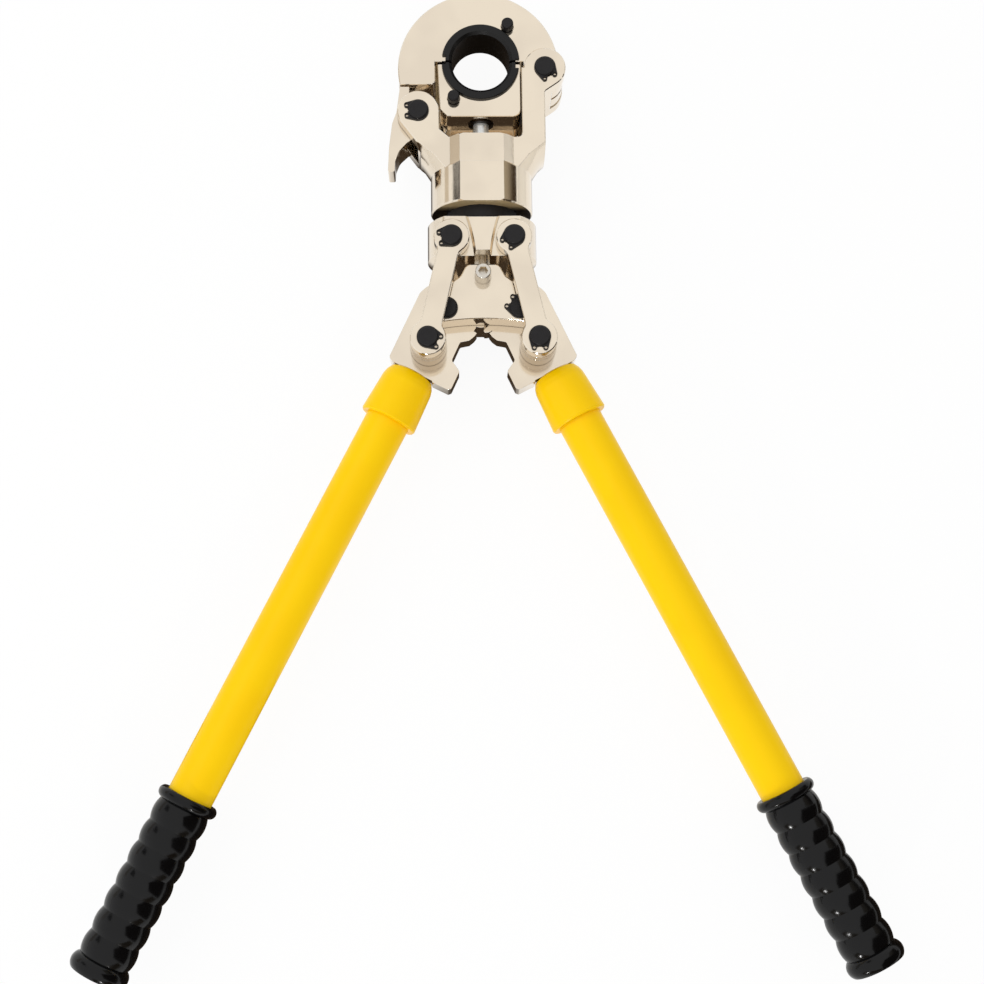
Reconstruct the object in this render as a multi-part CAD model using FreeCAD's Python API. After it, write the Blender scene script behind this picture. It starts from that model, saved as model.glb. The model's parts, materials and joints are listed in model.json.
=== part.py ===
import FreeCAD, Part
import math
import os

from FreeCAD import Vector

# Hand crimping tool for plastic and multilayer pipe: a swinging C head and a sliding die holder,
# driven through a toggle linkage by two long handles. Millimetres. X right, Y towards the head,
# Z through the thickness. The origin is the centre of the closed die bore, at mid thickness.
# Every piece is placed at the rest pose: handles part open, dies a small step apart.

# Dies
bore_r = 16.5
bore_ridge_length = 24.0
bore_bevel_r = 18.2
die_body_r = 20.0
die_flange_r = 22.2
die_flange_thick = 1.9
die_flange_cutbacks = (3.5, 0.9)
die_parting = 0.05
rest_gap = 1.2
rim_round = 0.4

# Head plates
jaw_half_thick = 11.7
fork_half_thick = 20.5
ear_slot_half = 12.0
c_outer_r = 46.0
c_outer_centre = (-1.35, -4.1)
c_inner_left_x = -26.0
c_limb_end_y = -14.0
c_limb_corner_r = 2.5
lug_groove_width = 2.2
lug_groove_depth = 1.5
seat_clearance = 0.05
gap_running = 0.05
gap_part = 0.3
gap_press = 0.01
edge_break = 0.5

# Pins and their retaining rings
pin_r = 5.5
pin_chamfer = 0.5
pin_stand = 2.3
groove_depth = 0.5
circlip_thick = 1.2
circlip_ring_r = 6.05
circlip_eye_spot = 7.1
circlip_eye_half_angle = 26.5
circlip_lug_r = 1.4
circlip_eye_r = 0.7
circlip_gap_half = 1.0
circlip_hull_angle = 80.0

# Fork
head_pivot = (36.4, -7.45)
latch_pivot = (-35.7, -33.3)
ear_r = 11.8
lug_r = 11.3
ear_right_tangent = -56.0
ear_left_tangent = -143.6
arm_waist_y = -21.9
arm_waist_r = 1.8
pocket_left_x = -23.75
pocket_right_x = 23.0
pocket_corner_r = 3.0
pocket_chamfer = (5.75, 5.0)
arm_right_x = 36.2
arm_left_foot = (-34.4, -54.9)
left_slot_floor_y = -52.6
barrel_top_y = -49.1
barrel_bottom_y = -88.9
barrel_r = 28.9
barrel_flat = 26.1
barrel_facet = 27.2
barrel_flat_end_y = -65.4
barrel_runout = 5.0
barrel_rim_chamfer = 0.8
shoulder_r = 41.6
shoulder_top_y = -51.7
shoulder_end_y = -67.0
shoulder_hollow = 1.6

# Latch lever
hook_half_thick = 5.5
hook_slot_half = 5.8
hook_slot_top_y = 3.0
hook_catch = (-40.8, -10.0)
lever_half_thick = 11.5
spur_half_thick = 8.3
lever_eye_r = 9.6
lever_top_y = -15.2
spur_taper_y = -45.0
spur_tip_y = -65.0

# Swivel between fork and link block
spindle_r = 20.0
spindle_top_y = -64.0
swivel_ring_y = -77.0
swivel_ring_thick = 2.0
swivel_ring_grip = 1.5

# Link block
block_top_y = -96.6
block_bottom_y = -119.7
block_r = 30.8
block_flat = 22.3
block_chamfer = 2.5
web_half_thick = 26.5
web_foot_spread = 1.6
web_half_widths = (8.4, 5.4, 3.7)
web_end_chamfer = 2.2

# Linkage: anchors on the block, cranks on the push block, joined by links
anchor = (17.3, -110.9)
crank = (20.1, -148.7)
link_end = (30.5, -168.4)
link_eye_r = 9.9
link_bar_width = 11.8
link_neck_r = 5.0
link_inner_z = 22.6
link_outer_z = 30.6
spacer_r = 10.0
spacer_seam_z = 17.6
spacer_seam = 0.6
plate_half_thick = 6.0
cheek_inner_z = 6.3
cheek_outer_z = 19.45
crank_pin_end_z = 21.5

# Push rod and push block
rod_r = 4.45
rod_top_y = -27.0
rod_seat_depth = 8.0
collar_r = 7.3
collar_length = 0.8
push_top_y = -123.6
push_bottom_y = -154.9
push_bottom_r = 147.0
push_outline = [
    (8.9, -123.6, 4.0), (12.3, -130.3, 6.0), (21.4, -137.3, 4.0), (29.0, -145.9, 7.0), (27.8, -158.2, 4.0),
]
bridge_half_width = 13.5
screw_y = -130.8
screw_r = 4.4
screw_top_z = 29.8
screw_shank_r = 2.6
screw_socket_r = 2.7
screw_socket_depth = 4.5
screw_rim_r = 0.8

# Die holder
holder_left_top_x = -24.8
holder_left_low = (-23.5, -29.0)
holder_left_foot_x = -19.5
holder_right_x = 22.9
holder_right_r = 4.5
holder_bottom_y = -33.3

# Die detent buttons
button_r = 3.4
button_reach = 26.5
button_angle = 54.0
button_stand = 5.6
button_rim_r = 1.2
button_stem_r = 2.4
button_stem_length = 5.0
button_pocket_depth = 9.0
button_travel = 2.5
spring_wire = 0.6
spring_turns = 3

# Handles
close_angle = 25.0
tube_angle = 27.2
tube_r = 12.55
tube_wall = 2.5
seat_u = -4.0
seat_v = -37.7
ferrule_length = 30.5
ferrule_solid = 14.0
ferrule_end_r = 12.5
ferrule_shoulder_r = 15.0
ferrule_lip_r = 16.2
tang_length = 24.0
tang_half_width = 8.0
grip_start = 260.6
grip_length = 105.7
grip_bulges = 7
grip_pitch = 12.6
grip_bulge_r = 15.1
grip_neck_r = 13.75
grip_top_flange_r = 16.8
grip_top_flange_thick = 6.2
grip_end_flange_r = 17.4
grip_cap = 3.0
fit = 0.02
tooth_count = 20
tooth_backlash = 0.25
nose_clearance = 0.3
plate_outer_u = -19.2
teeth_half_span = 34.0
stop_clearance = 0.15
stop_pad = (-26.8, -37.8)
slot_half_extra = 0.5
slot_shift = -0.1
slot_up = 0.15
slot_down = 3.0

# A reach that is past the whole tool, for tools that only cut
far = 120.0

XAXIS = Vector(1, 0, 0)
YAXIS = Vector(0, 1, 0)
ZAXIS = Vector(0, 0, 1)
ORIGIN = Vector(0, 0, 0)


def mirrored(shape):
    return shape.mirror(ORIGIN, XAXIS)


def flipped(shape):
    return shape.mirror(ORIGIN, ZAXIS)


def disc(x, y, r, z0, z1):
    """Round bar along Z between two heights."""
    return Part.makeCylinder(r, z1 - z0, Vector(x, y, z0), ZAXIS)


def bar_y(r, y0, y1):
    """Round bar on the tool's long axis between two stations."""
    return Part.makeCylinder(r, y1 - y0, Vector(0, y0, 0), YAXIS)


def block(x0, x1, y0, y1, z0, z1):
    return Part.makeBox(x1 - x0, y1 - y0, z1 - z0, Vector(x0, y0, z0))


def revolved(profile, axis):
    """Solid turned from a closed profile of (radius, station) about Y or Z."""
    if axis is YAXIS:
        points = [Vector(r, s, 0) for r, s in profile]
    else:
        points = [Vector(r, 0, s) for r, s in profile]
    wire = Part.makePolygon(points + points[:1])
    return Part.Face(wire).revolve(ORIGIN, axis, 360)


def side_prism(profile, x0, x1):
    """Prism along X from a closed side profile of (y, z)."""
    points = [Vector(x0, y, z) for y, z in profile]
    return Part.Face(Part.makePolygon(points + points[:1])).extrude(Vector(x1 - x0, 0, 0))


def rounded_face(corners):
    """Flat face from corners (x, y, radius), each corner rounded by its radius."""
    edges = []
    starts = []
    count = len(corners)
    for i, (x, y, r) in enumerate(corners):
        here = Vector(x, y, 0)
        before = Vector(corners[i - 1][0], corners[i - 1][1], 0)
        after = Vector(corners[(i + 1) % count][0], corners[(i + 1) % count][1], 0)
        if r == 0:
            starts.append((here, here, here))
            continue
        into = (before - here).normalize()
        away = (after - here).normalize()
        half = into.getAngle(away) / 2
        run = r / math.tan(half)
        bisector = (into + away).normalize()
        centre = here + bisector * (r / math.sin(half))
        starts.append((here + into * run, centre - bisector * r, here + away * run))
    for i, (first, middle, last) in enumerate(starts):
        if (last - first).Length > 1e-6:
            edges.append(Part.Arc(first, middle, last).toShape())
        following = starts[(i + 1) % count][0]
        if (following - last).Length > 1e-6:
            edges.append(Part.LineSegment(last, following).toShape())
    return Part.Face(Part.Wire(edges))


def plate(face, z0, z1):
    moved = face.copy()
    moved.translate(Vector(0, 0, z0))
    return moved.extrude(Vector(0, 0, z1 - z0))


def polar(centre, r, degrees):
    a = math.radians(degrees)
    return Vector(centre[0] + r * math.cos(a), centre[1] + r * math.sin(a), 0)


def sector(first, last):
    """Pie slice about the origin between two angles, past everything in reach."""
    steps = 4
    spots = [polar((0, 0), far, first + (last - first) * i / steps) for i in range(steps + 1)]
    return plate(Part.Face(Part.makePolygon([ORIGIN] + spots + [ORIGIN])), -far, far)


def flat_edges(shape, z):
    """Edges that lie in the plane at this height."""
    return [e for e in shape.Edges if e.BoundBox.ZLength < 1e-6 and abs(e.BoundBox.ZMin - z) < 1e-6]


def broken_edges(shape, z):
    """The shape with the edges of its front and back faces broken."""
    return shape.makeChamfer(edge_break, flat_edges(shape, z) + flat_edges(shape, -z))


def grooved_pin(x, y, half_length, clip_z):
    """Round pin with chamfered ends and a circlip groove near each end."""
    pin = disc(x, y, pin_r, -half_length, half_length)
    pin = pin.makeChamfer(pin_chamfer, flat_edges(pin, half_length) + flat_edges(pin, -half_length))
    for z in (clip_z, -clip_z - circlip_thick):
        ring = disc(x, y, pin_r + 1, z, z + circlip_thick)
        ring = ring.cut(disc(x, y, pin_r - groove_depth, z, z + circlip_thick))
        pin = pin.cut(ring)
    return pin


def circlip(x, y, z, lug_angle):
    """External retaining ring: a ring that runs out into two eyed lugs beside its gap."""
    ring = disc(0, 0, circlip_ring_r, 0, circlip_thick)
    lugs = []
    eyes = []
    for side in (-1, 1):
        eye = polar((0, 0), circlip_eye_spot, side * circlip_eye_half_angle)
        shoulder = polar((0, 0), circlip_ring_r, side * circlip_hull_angle)
        tip = polar(eye, circlip_lug_r, side * (circlip_hull_angle - 12))
        lugs.append(disc(eye.x, eye.y, circlip_lug_r, 0, circlip_thick))
        lugs.append(plate(Part.Face(Part.makePolygon([ORIGIN, shoulder, tip, eye, ORIGIN])), 0, circlip_thick))
        eyes.append(disc(eye.x, eye.y, circlip_eye_r, 0, circlip_thick))
    ring = ring.multiFuse(lugs)
    ring = ring.cut(block(0, far, -circlip_gap_half, circlip_gap_half, 0, circlip_thick))
    ring = ring.cut(disc(0, 0, pin_r - groove_depth, 0, circlip_thick))
    ring = ring.cut(eyes[0]).cut(eyes[1])
    ring.rotate(ORIGIN, ZAXIS, lug_angle)
    ring.translate(Vector(x, y, z))
    return ring


def clip_pair(x, y, clip_z, lug_angle):
    front = circlip(x, y, clip_z, lug_angle)
    return [front, flipped(front)]


def die_ring():
    """Full die ring: grooved body, a flange outside each face and a bevelled bore."""
    half = jaw_half_thick
    ridge = bore_ridge_length / 2
    face = half + die_flange_thick
    upper = [
        (bore_r, ridge), (bore_bevel_r, face), (die_flange_r - rim_round, face),
        (die_flange_r, face - rim_round), (die_flange_r, half), (die_body_r, half),
    ]
    lower = [(r, -z) for r, z in reversed(upper)]
    return revolved(upper + lower, ZAXIS)


def half_die():
    """Upper half ring. Its flanges stop short of the parting face, further on one side."""
    reach = die_flange_r + 5
    face = jaw_half_thick + die_flange_thick + 1
    die = die_ring().common(block(-reach, reach, die_parting, reach, -face, face))
    left, right = die_flange_cutbacks
    die = die.cut(block(-reach, -die_body_r, 0, left, -face, face))
    return die.cut(block(die_body_r, reach, 0, right, -face, face))


def lowered(shape):
    moved = shape.copy()
    moved.translate(Vector(0, -rest_gap, 0))
    return moved


def catch_r():
    """How far the latch's catch lies from the head's pivot."""
    return math.dist(head_pivot, hook_catch)


def c_head():
    """Swinging C head: a limb with the latch's slot, the die's seat and a lug between the right ears."""
    half = jaw_half_thick
    px, py = head_pivot
    ox, oy = c_outer_centre
    body = disc(ox, oy, c_outer_r, -half, half)
    body = body.cut(block(c_inner_left_x, far, -far, die_parting, -half, half))
    body = body.cut(block(-far, far, -far, c_limb_end_y, -half, half))
    corner = [e for e in body.Edges if e.BoundBox.ZLength > half
              and abs(e.BoundBox.XMin - c_inner_left_x) < 1e-4 and abs(e.BoundBox.YMin - c_limb_end_y) < 1e-4]
    body = body.makeFillet(c_limb_corner_r, corner)
    lug = disc(px, py, lug_r, -half, half)
    neck = rounded_face([
        (holder_right_x + 1.3, die_parting, 0), (px - lug_r, py, 0), (px, py, 0), (px, die_parting + 1, 0),
    ])
    body = body.multiFuse([lug, plate(neck, -half, half)]).removeSplitter()
    body = broken_edges(body, half)
    body = body.cut(disc(0, 0, die_body_r + seat_clearance, -half, half))
    body = body.cut(disc(px, py, pin_r + gap_running, -half, half))
    groove = disc(px, py, far, -lug_groove_width / 2, lug_groove_width / 2)
    groove = groove.cut(disc(px, py, lug_r - lug_groove_depth, -half, half))
    groove = groove.common(block(px - lug_r / 2, far, -far, py + lug_r / 2, -half, half))
    body = body.cut(groove)
    slot = block(-far, 0, c_limb_end_y - 1, hook_slot_top_y, -hook_slot_half, hook_slot_half)
    body = body.cut(slot.cut(disc(px, py, catch_r(), -half, half)))
    knob = polar((0, 0), button_reach, button_angle)
    return body.cut(button_pocket(knob.x, knob.y))


def button_pocket(x, y):
    bottom = jaw_half_thick - button_pocket_depth
    hole = disc(x, y, button_stem_r + gap_running, bottom, jaw_half_thick)
    well = disc(x, y, button_r + gap_part, jaw_half_thick - button_travel - 1.0, jaw_half_thick)
    return hole.fuse(well)


def stem_end_z():
    return jaw_half_thick - button_stem_length


def button(x, y):
    """Die detent button: domed knob on a stem that slides in its pocket."""
    top = jaw_half_thick + button_stand
    knob_foot = jaw_half_thick - rim_round
    knob = disc(x, y, button_r, knob_foot, top)
    knob = knob.makeFillet(button_rim_r, flat_edges(knob, top))
    return knob.fuse(disc(x, y, button_stem_r, stem_end_z(), knob_foot))


def button_spring(x, y):
    """Coil spring under the button's stem."""
    low = jaw_half_thick - button_pocket_depth + 0.1
    turns = stem_end_z() - 0.1 - low - spring_wire
    coil_r = button_stem_r - 0.7
    path = Part.makeHelix(turns / spring_turns, turns, coil_r)
    section = Part.Wire(Part.Circle(Vector(coil_r, 0, 0), YAXIS, spring_wire / 2).toShape())
    spring = Part.Wire(path).makePipeShell([section], True, False)
    spring.translate(Vector(x, y, low + spring_wire / 2))
    return spring


def fork_profile():
    """Flat outlines of the fork's right and left arms, from the ears down into the barrel."""
    foot_y = barrel_top_y - 20
    right_leave = polar(head_pivot, ear_r, ear_right_tangent)
    left_leave = polar(latch_pivot, ear_r, ear_left_tangent)
    chamfer_x, chamfer_y = pocket_chamfer
    right = rounded_face([
        (pocket_right_x, head_pivot[1], 0), (head_pivot[0], head_pivot[1], 0),
        (right_leave.x, right_leave.y, 0), (arm_right_x, arm_waist_y, arm_waist_r),
        (arm_right_x, foot_y, 0), (0, foot_y, 0), (0, barrel_top_y, 0),
        (pocket_right_x, barrel_top_y, pocket_corner_r),
    ])
    left = rounded_face([
        (pocket_left_x, latch_pivot[1], 0), (latch_pivot[0], latch_pivot[1], 0),
        (left_leave.x, left_leave.y, 0), (arm_left_foot[0], arm_left_foot[1], 6.0),
        (arm_left_foot[0], foot_y, 0), (0, foot_y, 0), (0, barrel_top_y, 0),
        (pocket_left_x + chamfer_x, barrel_top_y, 0), (pocket_left_x, barrel_top_y + chamfer_y, 0),
    ])
    return right, left


def fork_arms():
    """Both arms with their ears, trimmed below by the hollow shoulder that leads to the barrel."""
    half = fork_half_thick
    lx, ly = latch_pivot
    px, py = head_pivot
    right, left = fork_profile()
    ear_left = disc(lx, ly, ear_r, -half, half)
    ear_left = ear_left.cut(block(pocket_left_x, 0, ly - far, ly + far, -half, half))
    ear_right = disc(px, py, ear_r, -half, half)
    ear_right = ear_right.cut(block(0, pocket_right_x, py - far, py + far, -half, half))
    arms = plate(right, -half, half).multiFuse([plate(left, -half, half), ear_right, ear_left])
    arms = broken_edges(arms.removeSplitter(), half)
    middle = ((shoulder_r + barrel_r) / 2 - shoulder_hollow, (shoulder_top_y + shoulder_end_y) / 2)
    envelope = revolved([
        (0, far), (far, far), (far, shoulder_top_y), (shoulder_r, shoulder_top_y), middle,
        (barrel_r, shoulder_end_y), (barrel_r, barrel_top_y - 20), (0, barrel_top_y - 20),
    ], YAXIS)
    return arms.common(envelope)


def fork_body():
    """Fork with two pairs of ears on a barrel that is octagonal above and round below."""
    half = fork_half_thick
    lx, ly = latch_pivot
    px, py = head_pivot
    barrel = bar_y(barrel_r, barrel_bottom_y, barrel_top_y)
    rims = [e for e in barrel.Edges if e.BoundBox.YLength < 1e-6]
    barrel = barrel.makeChamfer(barrel_rim_chamfer, rims).common(octagon_runout())
    body = fork_arms().fuse(barrel).removeSplitter()
    slot_left = block(-far, pocket_left_x + 2, left_slot_floor_y, far, -ear_slot_half, ear_slot_half)
    slot_right = disc(px, py, ear_r + gap_part, -ear_slot_half, ear_slot_half)
    slot_right = slot_right.fuse(block(0, far, py, far, -ear_slot_half, ear_slot_half))
    body = body.cut(slot_left).cut(slot_right)
    body = body.cut(disc(px, py, pin_r + gap_press, -half, half))
    body = body.cut(disc(lx, ly, pin_r + gap_press, -half, half))
    bore = bar_y(spindle_r + gap_running, barrel_bottom_y, spindle_top_y + 1.0)
    groove = bar_y(spindle_r + swivel_ring_grip + gap_part,
                   swivel_ring_y - swivel_ring_thick / 2 - gap_part,
                   swivel_ring_y + swivel_ring_thick / 2 + gap_part)
    rod_hole = bar_y(rod_r + gap_running, barrel_bottom_y, 0)
    return body.cut(bore).cut(groove).cut(rod_hole)


def octagon_runout():
    """Octagonal envelope of the barrel's top that flares out into the round barrel."""
    def ring(y, flat, facet):
        corner = facet * math.sqrt(2) - flat
        side = facet * math.sqrt(2) - corner
        spots = [(-corner, flat), (corner, flat), (side, corner), (side, -corner),
                 (corner, -flat), (-corner, -flat), (-side, -corner), (-side, corner)]
        return Part.makePolygon([Vector(x, y, z) for x, z in spots + spots[:1]])
    grow = 1.18
    top = ring(barrel_top_y + 1, barrel_flat, barrel_facet)
    low = ring(barrel_flat_end_y, barrel_flat, barrel_facet)
    out = ring(barrel_flat_end_y - barrel_runout, barrel_flat * grow, barrel_facet * grow)
    end = ring(barrel_bottom_y - 1, barrel_flat * grow, barrel_facet * grow)
    parts = [Part.makeLoft([a, b], True, True) for a, b in ((top, low), (low, out), (out, end))]
    return parts[0].multiFuse(parts[1:])


def swivel_ring():
    y0 = swivel_ring_y - swivel_ring_thick / 2
    y1 = swivel_ring_y + swivel_ring_thick / 2
    outer = bar_y(spindle_r + swivel_ring_grip, y0, y1)
    return outer.cut(bar_y(spindle_r - swivel_ring_grip, y0, y1))


def web():
    """Raised web on the link block's front: waisted, drafted and chamfered at its lower end."""
    top, mid, low = web_half_widths
    middle_y = (block_top_y + block_bottom_y) / 2

    def outline(z, extra):
        left = Part.Arc(Vector(-low - extra, block_bottom_y, z), Vector(-mid - extra, middle_y, z),
                        Vector(-top - extra, block_top_y, z)).toShape()
        over = Part.LineSegment(Vector(-top - extra, block_top_y, z),
                                Vector(top + extra, block_top_y, z)).toShape()
        right = Part.Arc(Vector(top + extra, block_top_y, z), Vector(mid + extra, middle_y, z),
                         Vector(low + extra, block_bottom_y, z)).toShape()
        under = Part.LineSegment(Vector(low + extra, block_bottom_y, z),
                                 Vector(-low - extra, block_bottom_y, z)).toShape()
        return Part.Wire([left, over, right, under])

    rib = Part.makeLoft([outline(block_flat - 2, web_foot_spread), outline(web_half_thick, 0)], True)
    for side in (-1, 1):
        rib = rib.cut(disc(side * anchor[0], anchor[1], link_eye_r + gap_part, 0, far))
    end_cut = side_prism([
        (block_bottom_y - 1, web_half_thick - web_end_chamfer), (block_bottom_y, web_half_thick - web_end_chamfer),
        (block_bottom_y + web_end_chamfer, web_half_thick), (block_bottom_y + web_end_chamfer, far),
        (block_bottom_y - 1, far),
    ], -far, far)
    return rib.cut(end_cut)


def link_block():
    """Round block with two flats for the links, a raised web between them and a hollow spindle."""
    body = bar_y(block_r, block_bottom_y, block_top_y)
    rims = [e for e in body.Edges if e.BoundBox.YLength < 1e-6 and abs(e.BoundBox.YMin - block_bottom_y) < 1e-6]
    body = body.makeChamfer(block_chamfer, rims)
    body = body.common(block(-far, far, block_bottom_y, block_top_y, -block_flat, block_flat))
    rib = web()
    spindle = bar_y(spindle_r, block_top_y, spindle_top_y)
    body = body.multiFuse([rib, flipped(rib), spindle]).removeSplitter()
    half_ring = swivel_ring_thick / 2
    ring_seat = bar_y(spindle_r + 1, swivel_ring_y - half_ring, swivel_ring_y + half_ring)
    ring_seat = ring_seat.cut(bar_y(spindle_r - swivel_ring_grip, swivel_ring_y - far, swivel_ring_y + far))
    body = body.cut(ring_seat)
    body = body.cut(bar_y(rod_r + gap_running, block_bottom_y - 1, spindle_top_y + 1))
    for side in (-1, 1):
        body = body.cut(disc(side * anchor[0], anchor[1], pin_r + gap_press, -far, far))
    return body


def link(z0, z1):
    """Right link bar between the anchor pin and the link end pin."""
    ax, ay = anchor
    bx, by = link_end
    length = math.dist(anchor, link_end)
    w = link_bar_width / 2
    bar = rounded_face([(0, -w, 0), (length, -w, 0), (length, w, 0), (0, w, 0)])
    solid = plate(bar, z0, z1)
    solid = solid.multiFuse([disc(0, 0, link_eye_r, z0, z1), disc(length, 0, link_eye_r, z0, z1)])
    solid = solid.removeSplitter()
    corners = [e for e in solid.Edges if e.BoundBox.ZLength > (z1 - z0) * 0.9
               and abs(abs(e.BoundBox.YMin) - w) < 1e-4 and e.BoundBox.YLength < 1e-4
               and 4 < e.BoundBox.XMin < length - 4]
    solid = solid.makeFillet(link_neck_r, corners)
    solid = solid.makeChamfer(edge_break, flat_edges(solid, z1))
    solid = solid.cut(disc(0, 0, pin_r + gap_running, z0, z1))
    solid = solid.cut(disc(length, 0, pin_r + gap_press, z0, z1))
    solid.rotate(ORIGIN, ZAXIS, math.degrees(math.atan2(by - ay, bx - ax)))
    solid.translate(Vector(ax, ay, 0))
    return solid


def link_spacer():
    """Stack of washers between the link and the handle plate, as one turned spacer."""
    x, y = link_end
    low = plate_half_thick + gap_part
    ring = disc(x, y, spacer_r, low, link_inner_z)
    ring = ring.cut(disc(x, y, pin_r + gap_press, low, link_inner_z))
    seam = disc(x, y, spacer_r + 1, spacer_seam_z - spacer_seam, spacer_seam_z)
    seam = seam.cut(disc(x, y, spacer_r - spacer_seam, spacer_seam_z - spacer_seam, spacer_seam_z))
    return ring.cut(seam)


def push_block():
    """Push block: two cheeks round the handle noses, bridged above them, with the rod's seat."""
    cx, cy = crank
    face = rounded_face(push_outline + [(-x, y, r) for x, y, r in reversed(push_outline)])
    under = disc(0, push_bottom_y - push_bottom_r, push_bottom_r, -far, far)
    cheek = plate(face, cheek_inner_z, cheek_outer_z).cut(under)
    cheek = cheek.makeChamfer(edge_break, flat_edges(cheek, cheek_outer_z))
    bridge = plate(face, -cheek_inner_z, cheek_inner_z)
    bridge = bridge.common(block(-bridge_half_width, bridge_half_width, cy, push_top_y, -far, far))
    for side in (-1, 1):
        bridge = bridge.cut(disc(side * cx, cy, nose_reach() + 0.8, -far, far))
    body = cheek.multiFuse([flipped(cheek), bridge]).removeSplitter()
    for side in (-1, 1):
        body = body.cut(disc(side * cx, cy, pin_r + gap_press, -far, far))
    body = body.cut(bar_y(rod_r + gap_press, rod_seat_y(), push_top_y + 1))
    return body.cut(disc(0, screw_y, screw_shank_r + fit, 0, far))


def rod_seat_y():
    return push_top_y - rod_seat_depth


def tooth_module():
    return 2 * crank[0] / tooth_count


def nose_reach():
    """Radius of the tooth tips about the crank pin."""
    return crank[0] + 0.9 * tooth_module()


def push_rod():
    rod = bar_y(rod_r, rod_seat_y(), rod_top_y)
    ends = [e for e in rod.Edges if e.BoundBox.YLength < 1e-6]
    return rod.makeChamfer(edge_break, ends)


def rod_collar():
    collar = bar_y(collar_r, holder_bottom_y - collar_length, holder_bottom_y)
    return collar.cut(bar_y(rod_r + gap_running, -far, 0))


def lock_screw():
    """Socket screw that locks the rod in the push block, its head standing proud."""
    head = disc(0, screw_y, screw_r, cheek_outer_z, screw_top_z)
    head = head.makeFillet(screw_rim_r, flat_edges(head, screw_top_z))
    shank = disc(0, screw_y, screw_shank_r, rod_r + fit, cheek_outer_z)
    spots = [polar((0, screw_y), screw_socket_r, 60 * i) for i in range(6)]
    hexagon = Part.Face(Part.makePolygon(spots + spots[:1]))
    socket = plate(hexagon, screw_top_z - screw_socket_depth, screw_top_z + 1)
    return head.fuse(shank).cut(socket)


def die_holder():
    """Sliding block that carries the lower die on the end of the rod."""
    half = jaw_half_thick
    bottom = holder_bottom_y + rest_gap
    low_x, low_y = holder_left_low
    face = rounded_face([
        (holder_left_top_x, -die_parting, 0.8), (holder_right_x, -die_parting, 0.8),
        (holder_right_x, bottom, holder_right_r), (holder_left_foot_x, bottom, 1.5),
        (low_x, low_y + rest_gap, 1.5),
    ])
    body = broken_edges(plate(face, -half, half), half)
    body = body.cut(disc(0, 0, die_body_r + seat_clearance, -half, half))
    knob = polar((0, 0), button_reach, button_angle + 180)
    body = lowered(body.cut(button_pocket(knob.x, knob.y)))
    return body.cut(bar_y(rod_r + gap_running, -far, rod_top_y + 0.2))


def involute(base_r, r):
    """Roll-off angle of an involute flank, in degrees, at this radius."""
    a = math.acos(min(1.0, base_r / r))
    return math.degrees(math.tan(a) - a)


def nose_teeth(phase):
    """Tooth outlines of a handle plate's nose, round the crank pin, and their root radius."""
    m = tooth_module()
    pitch_r = crank[0]
    root_r = pitch_r - 1.15 * m
    base_r = pitch_r * math.cos(math.radians(20))
    pitch = 360.0 / tooth_count
    half_thick = math.degrees((math.pi * m / 2 - tooth_backlash) / 2 / pitch_r)
    base_half = half_thick + involute(base_r, pitch_r)
    radii = [base_r + (nose_reach() - base_r) * i / 4 for i in range(5)]
    teeth = []
    for k in range(-2, 3):
        centre = phase + k * pitch
        if abs(centre) > teeth_half_span - 2:
            continue
        flanks = []
        for side in (-1, 1):
            spots = [polar((0, 0), r, centre + side * (base_half - involute(base_r, r))) for r in radii]
            foot = polar((0, 0), root_r - 1.0, centre + side * base_half)
            flanks.append((foot, spots))
        (foot_right, right), (foot_left, left) = flanks
        flank_right = Part.BSplineCurve()
        flank_right.interpolate(right)
        flank_left = Part.BSplineCurve()
        flank_left.interpolate(list(reversed(left)))
        tip = Part.Arc(right[-1], polar((0, 0), nose_reach(), centre), left[-1]).toShape()
        edges = [
            Part.LineSegment(foot_right, right[0]).toShape(), flank_right.toShape(), tip,
            flank_left.toShape(), Part.LineSegment(left[0], foot_left).toShape(),
            Part.LineSegment(foot_left, foot_right).toShape(),
        ]
        teeth.append(Part.Face(Part.Wire(edges)))
    return teeth, root_r


def seat_line_v(u):
    """Height of the plate's lower edge, which is square to the tube, at this distance from the pin."""
    return seat_v - math.tan(math.radians(tube_angle - close_angle)) * (u - seat_u)


def handle_plate_left(phase):
    """Left handle plate, drawn about its crank pin with the handles shut, then opened to rest."""
    stop_u = crank[0] - stop_clearance
    pad_top, pad_low = stop_pad
    nose_r = crank[0] - nose_clearance
    nose_end = math.degrees(math.acos(plate_outer_u / nose_r))
    nose_low = polar((0, 0), nose_r, close_angle - 41)
    teeth, root_r = nose_teeth(phase)
    outline = [
        (nose_low.x, nose_low.y, 0), (17.6, -8.4, 1.5), (13.3, -11.5, 1.5), (13.4, -23.0, 2.0),
        (stop_u, pad_top, 1.5), (stop_u, pad_low, 1.0), (18.6, -39.2, 0.8), (8.6, -38.9, 0),
        (8.4, seat_line_v(8.4), 0), (-16.6, seat_line_v(-16.6), 0), (plate_outer_u, -35.6, 2.0),
        (plate_outer_u, nose_r * math.sin(math.radians(nose_end)), 0), (0, 0, 0),
    ]
    thick = plate_half_thick
    body = plate(rounded_face(outline), -thick, thick)
    nose = disc(0, 0, nose_r, -thick, thick)
    root = disc(0, 0, root_r, -thick, thick)
    pieces = [
        nose.common(sector(close_angle + teeth_half_span - 1, nose_end)),
        root.common(sector(close_angle - 41, close_angle + teeth_half_span)),
        nose.common(sector(close_angle - 41, close_angle - teeth_half_span + 1)),
    ]
    for face in teeth:
        tooth = plate(face, -thick, thick)
        tooth.rotate(ORIGIN, ZAXIS, close_angle)
        pieces.append(tooth)
    body = body.multiFuse(pieces).removeSplitter().fuse(tang())
    body = body.cut(disc(0, 0, pin_r + gap_running, -far, far)).removeSplitter()
    body.rotate(ORIGIN, ZAXIS, -close_angle)
    body = body.cut(link_slot())
    body.translate(Vector(-crank[0], crank[1], 0))
    return body


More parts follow.
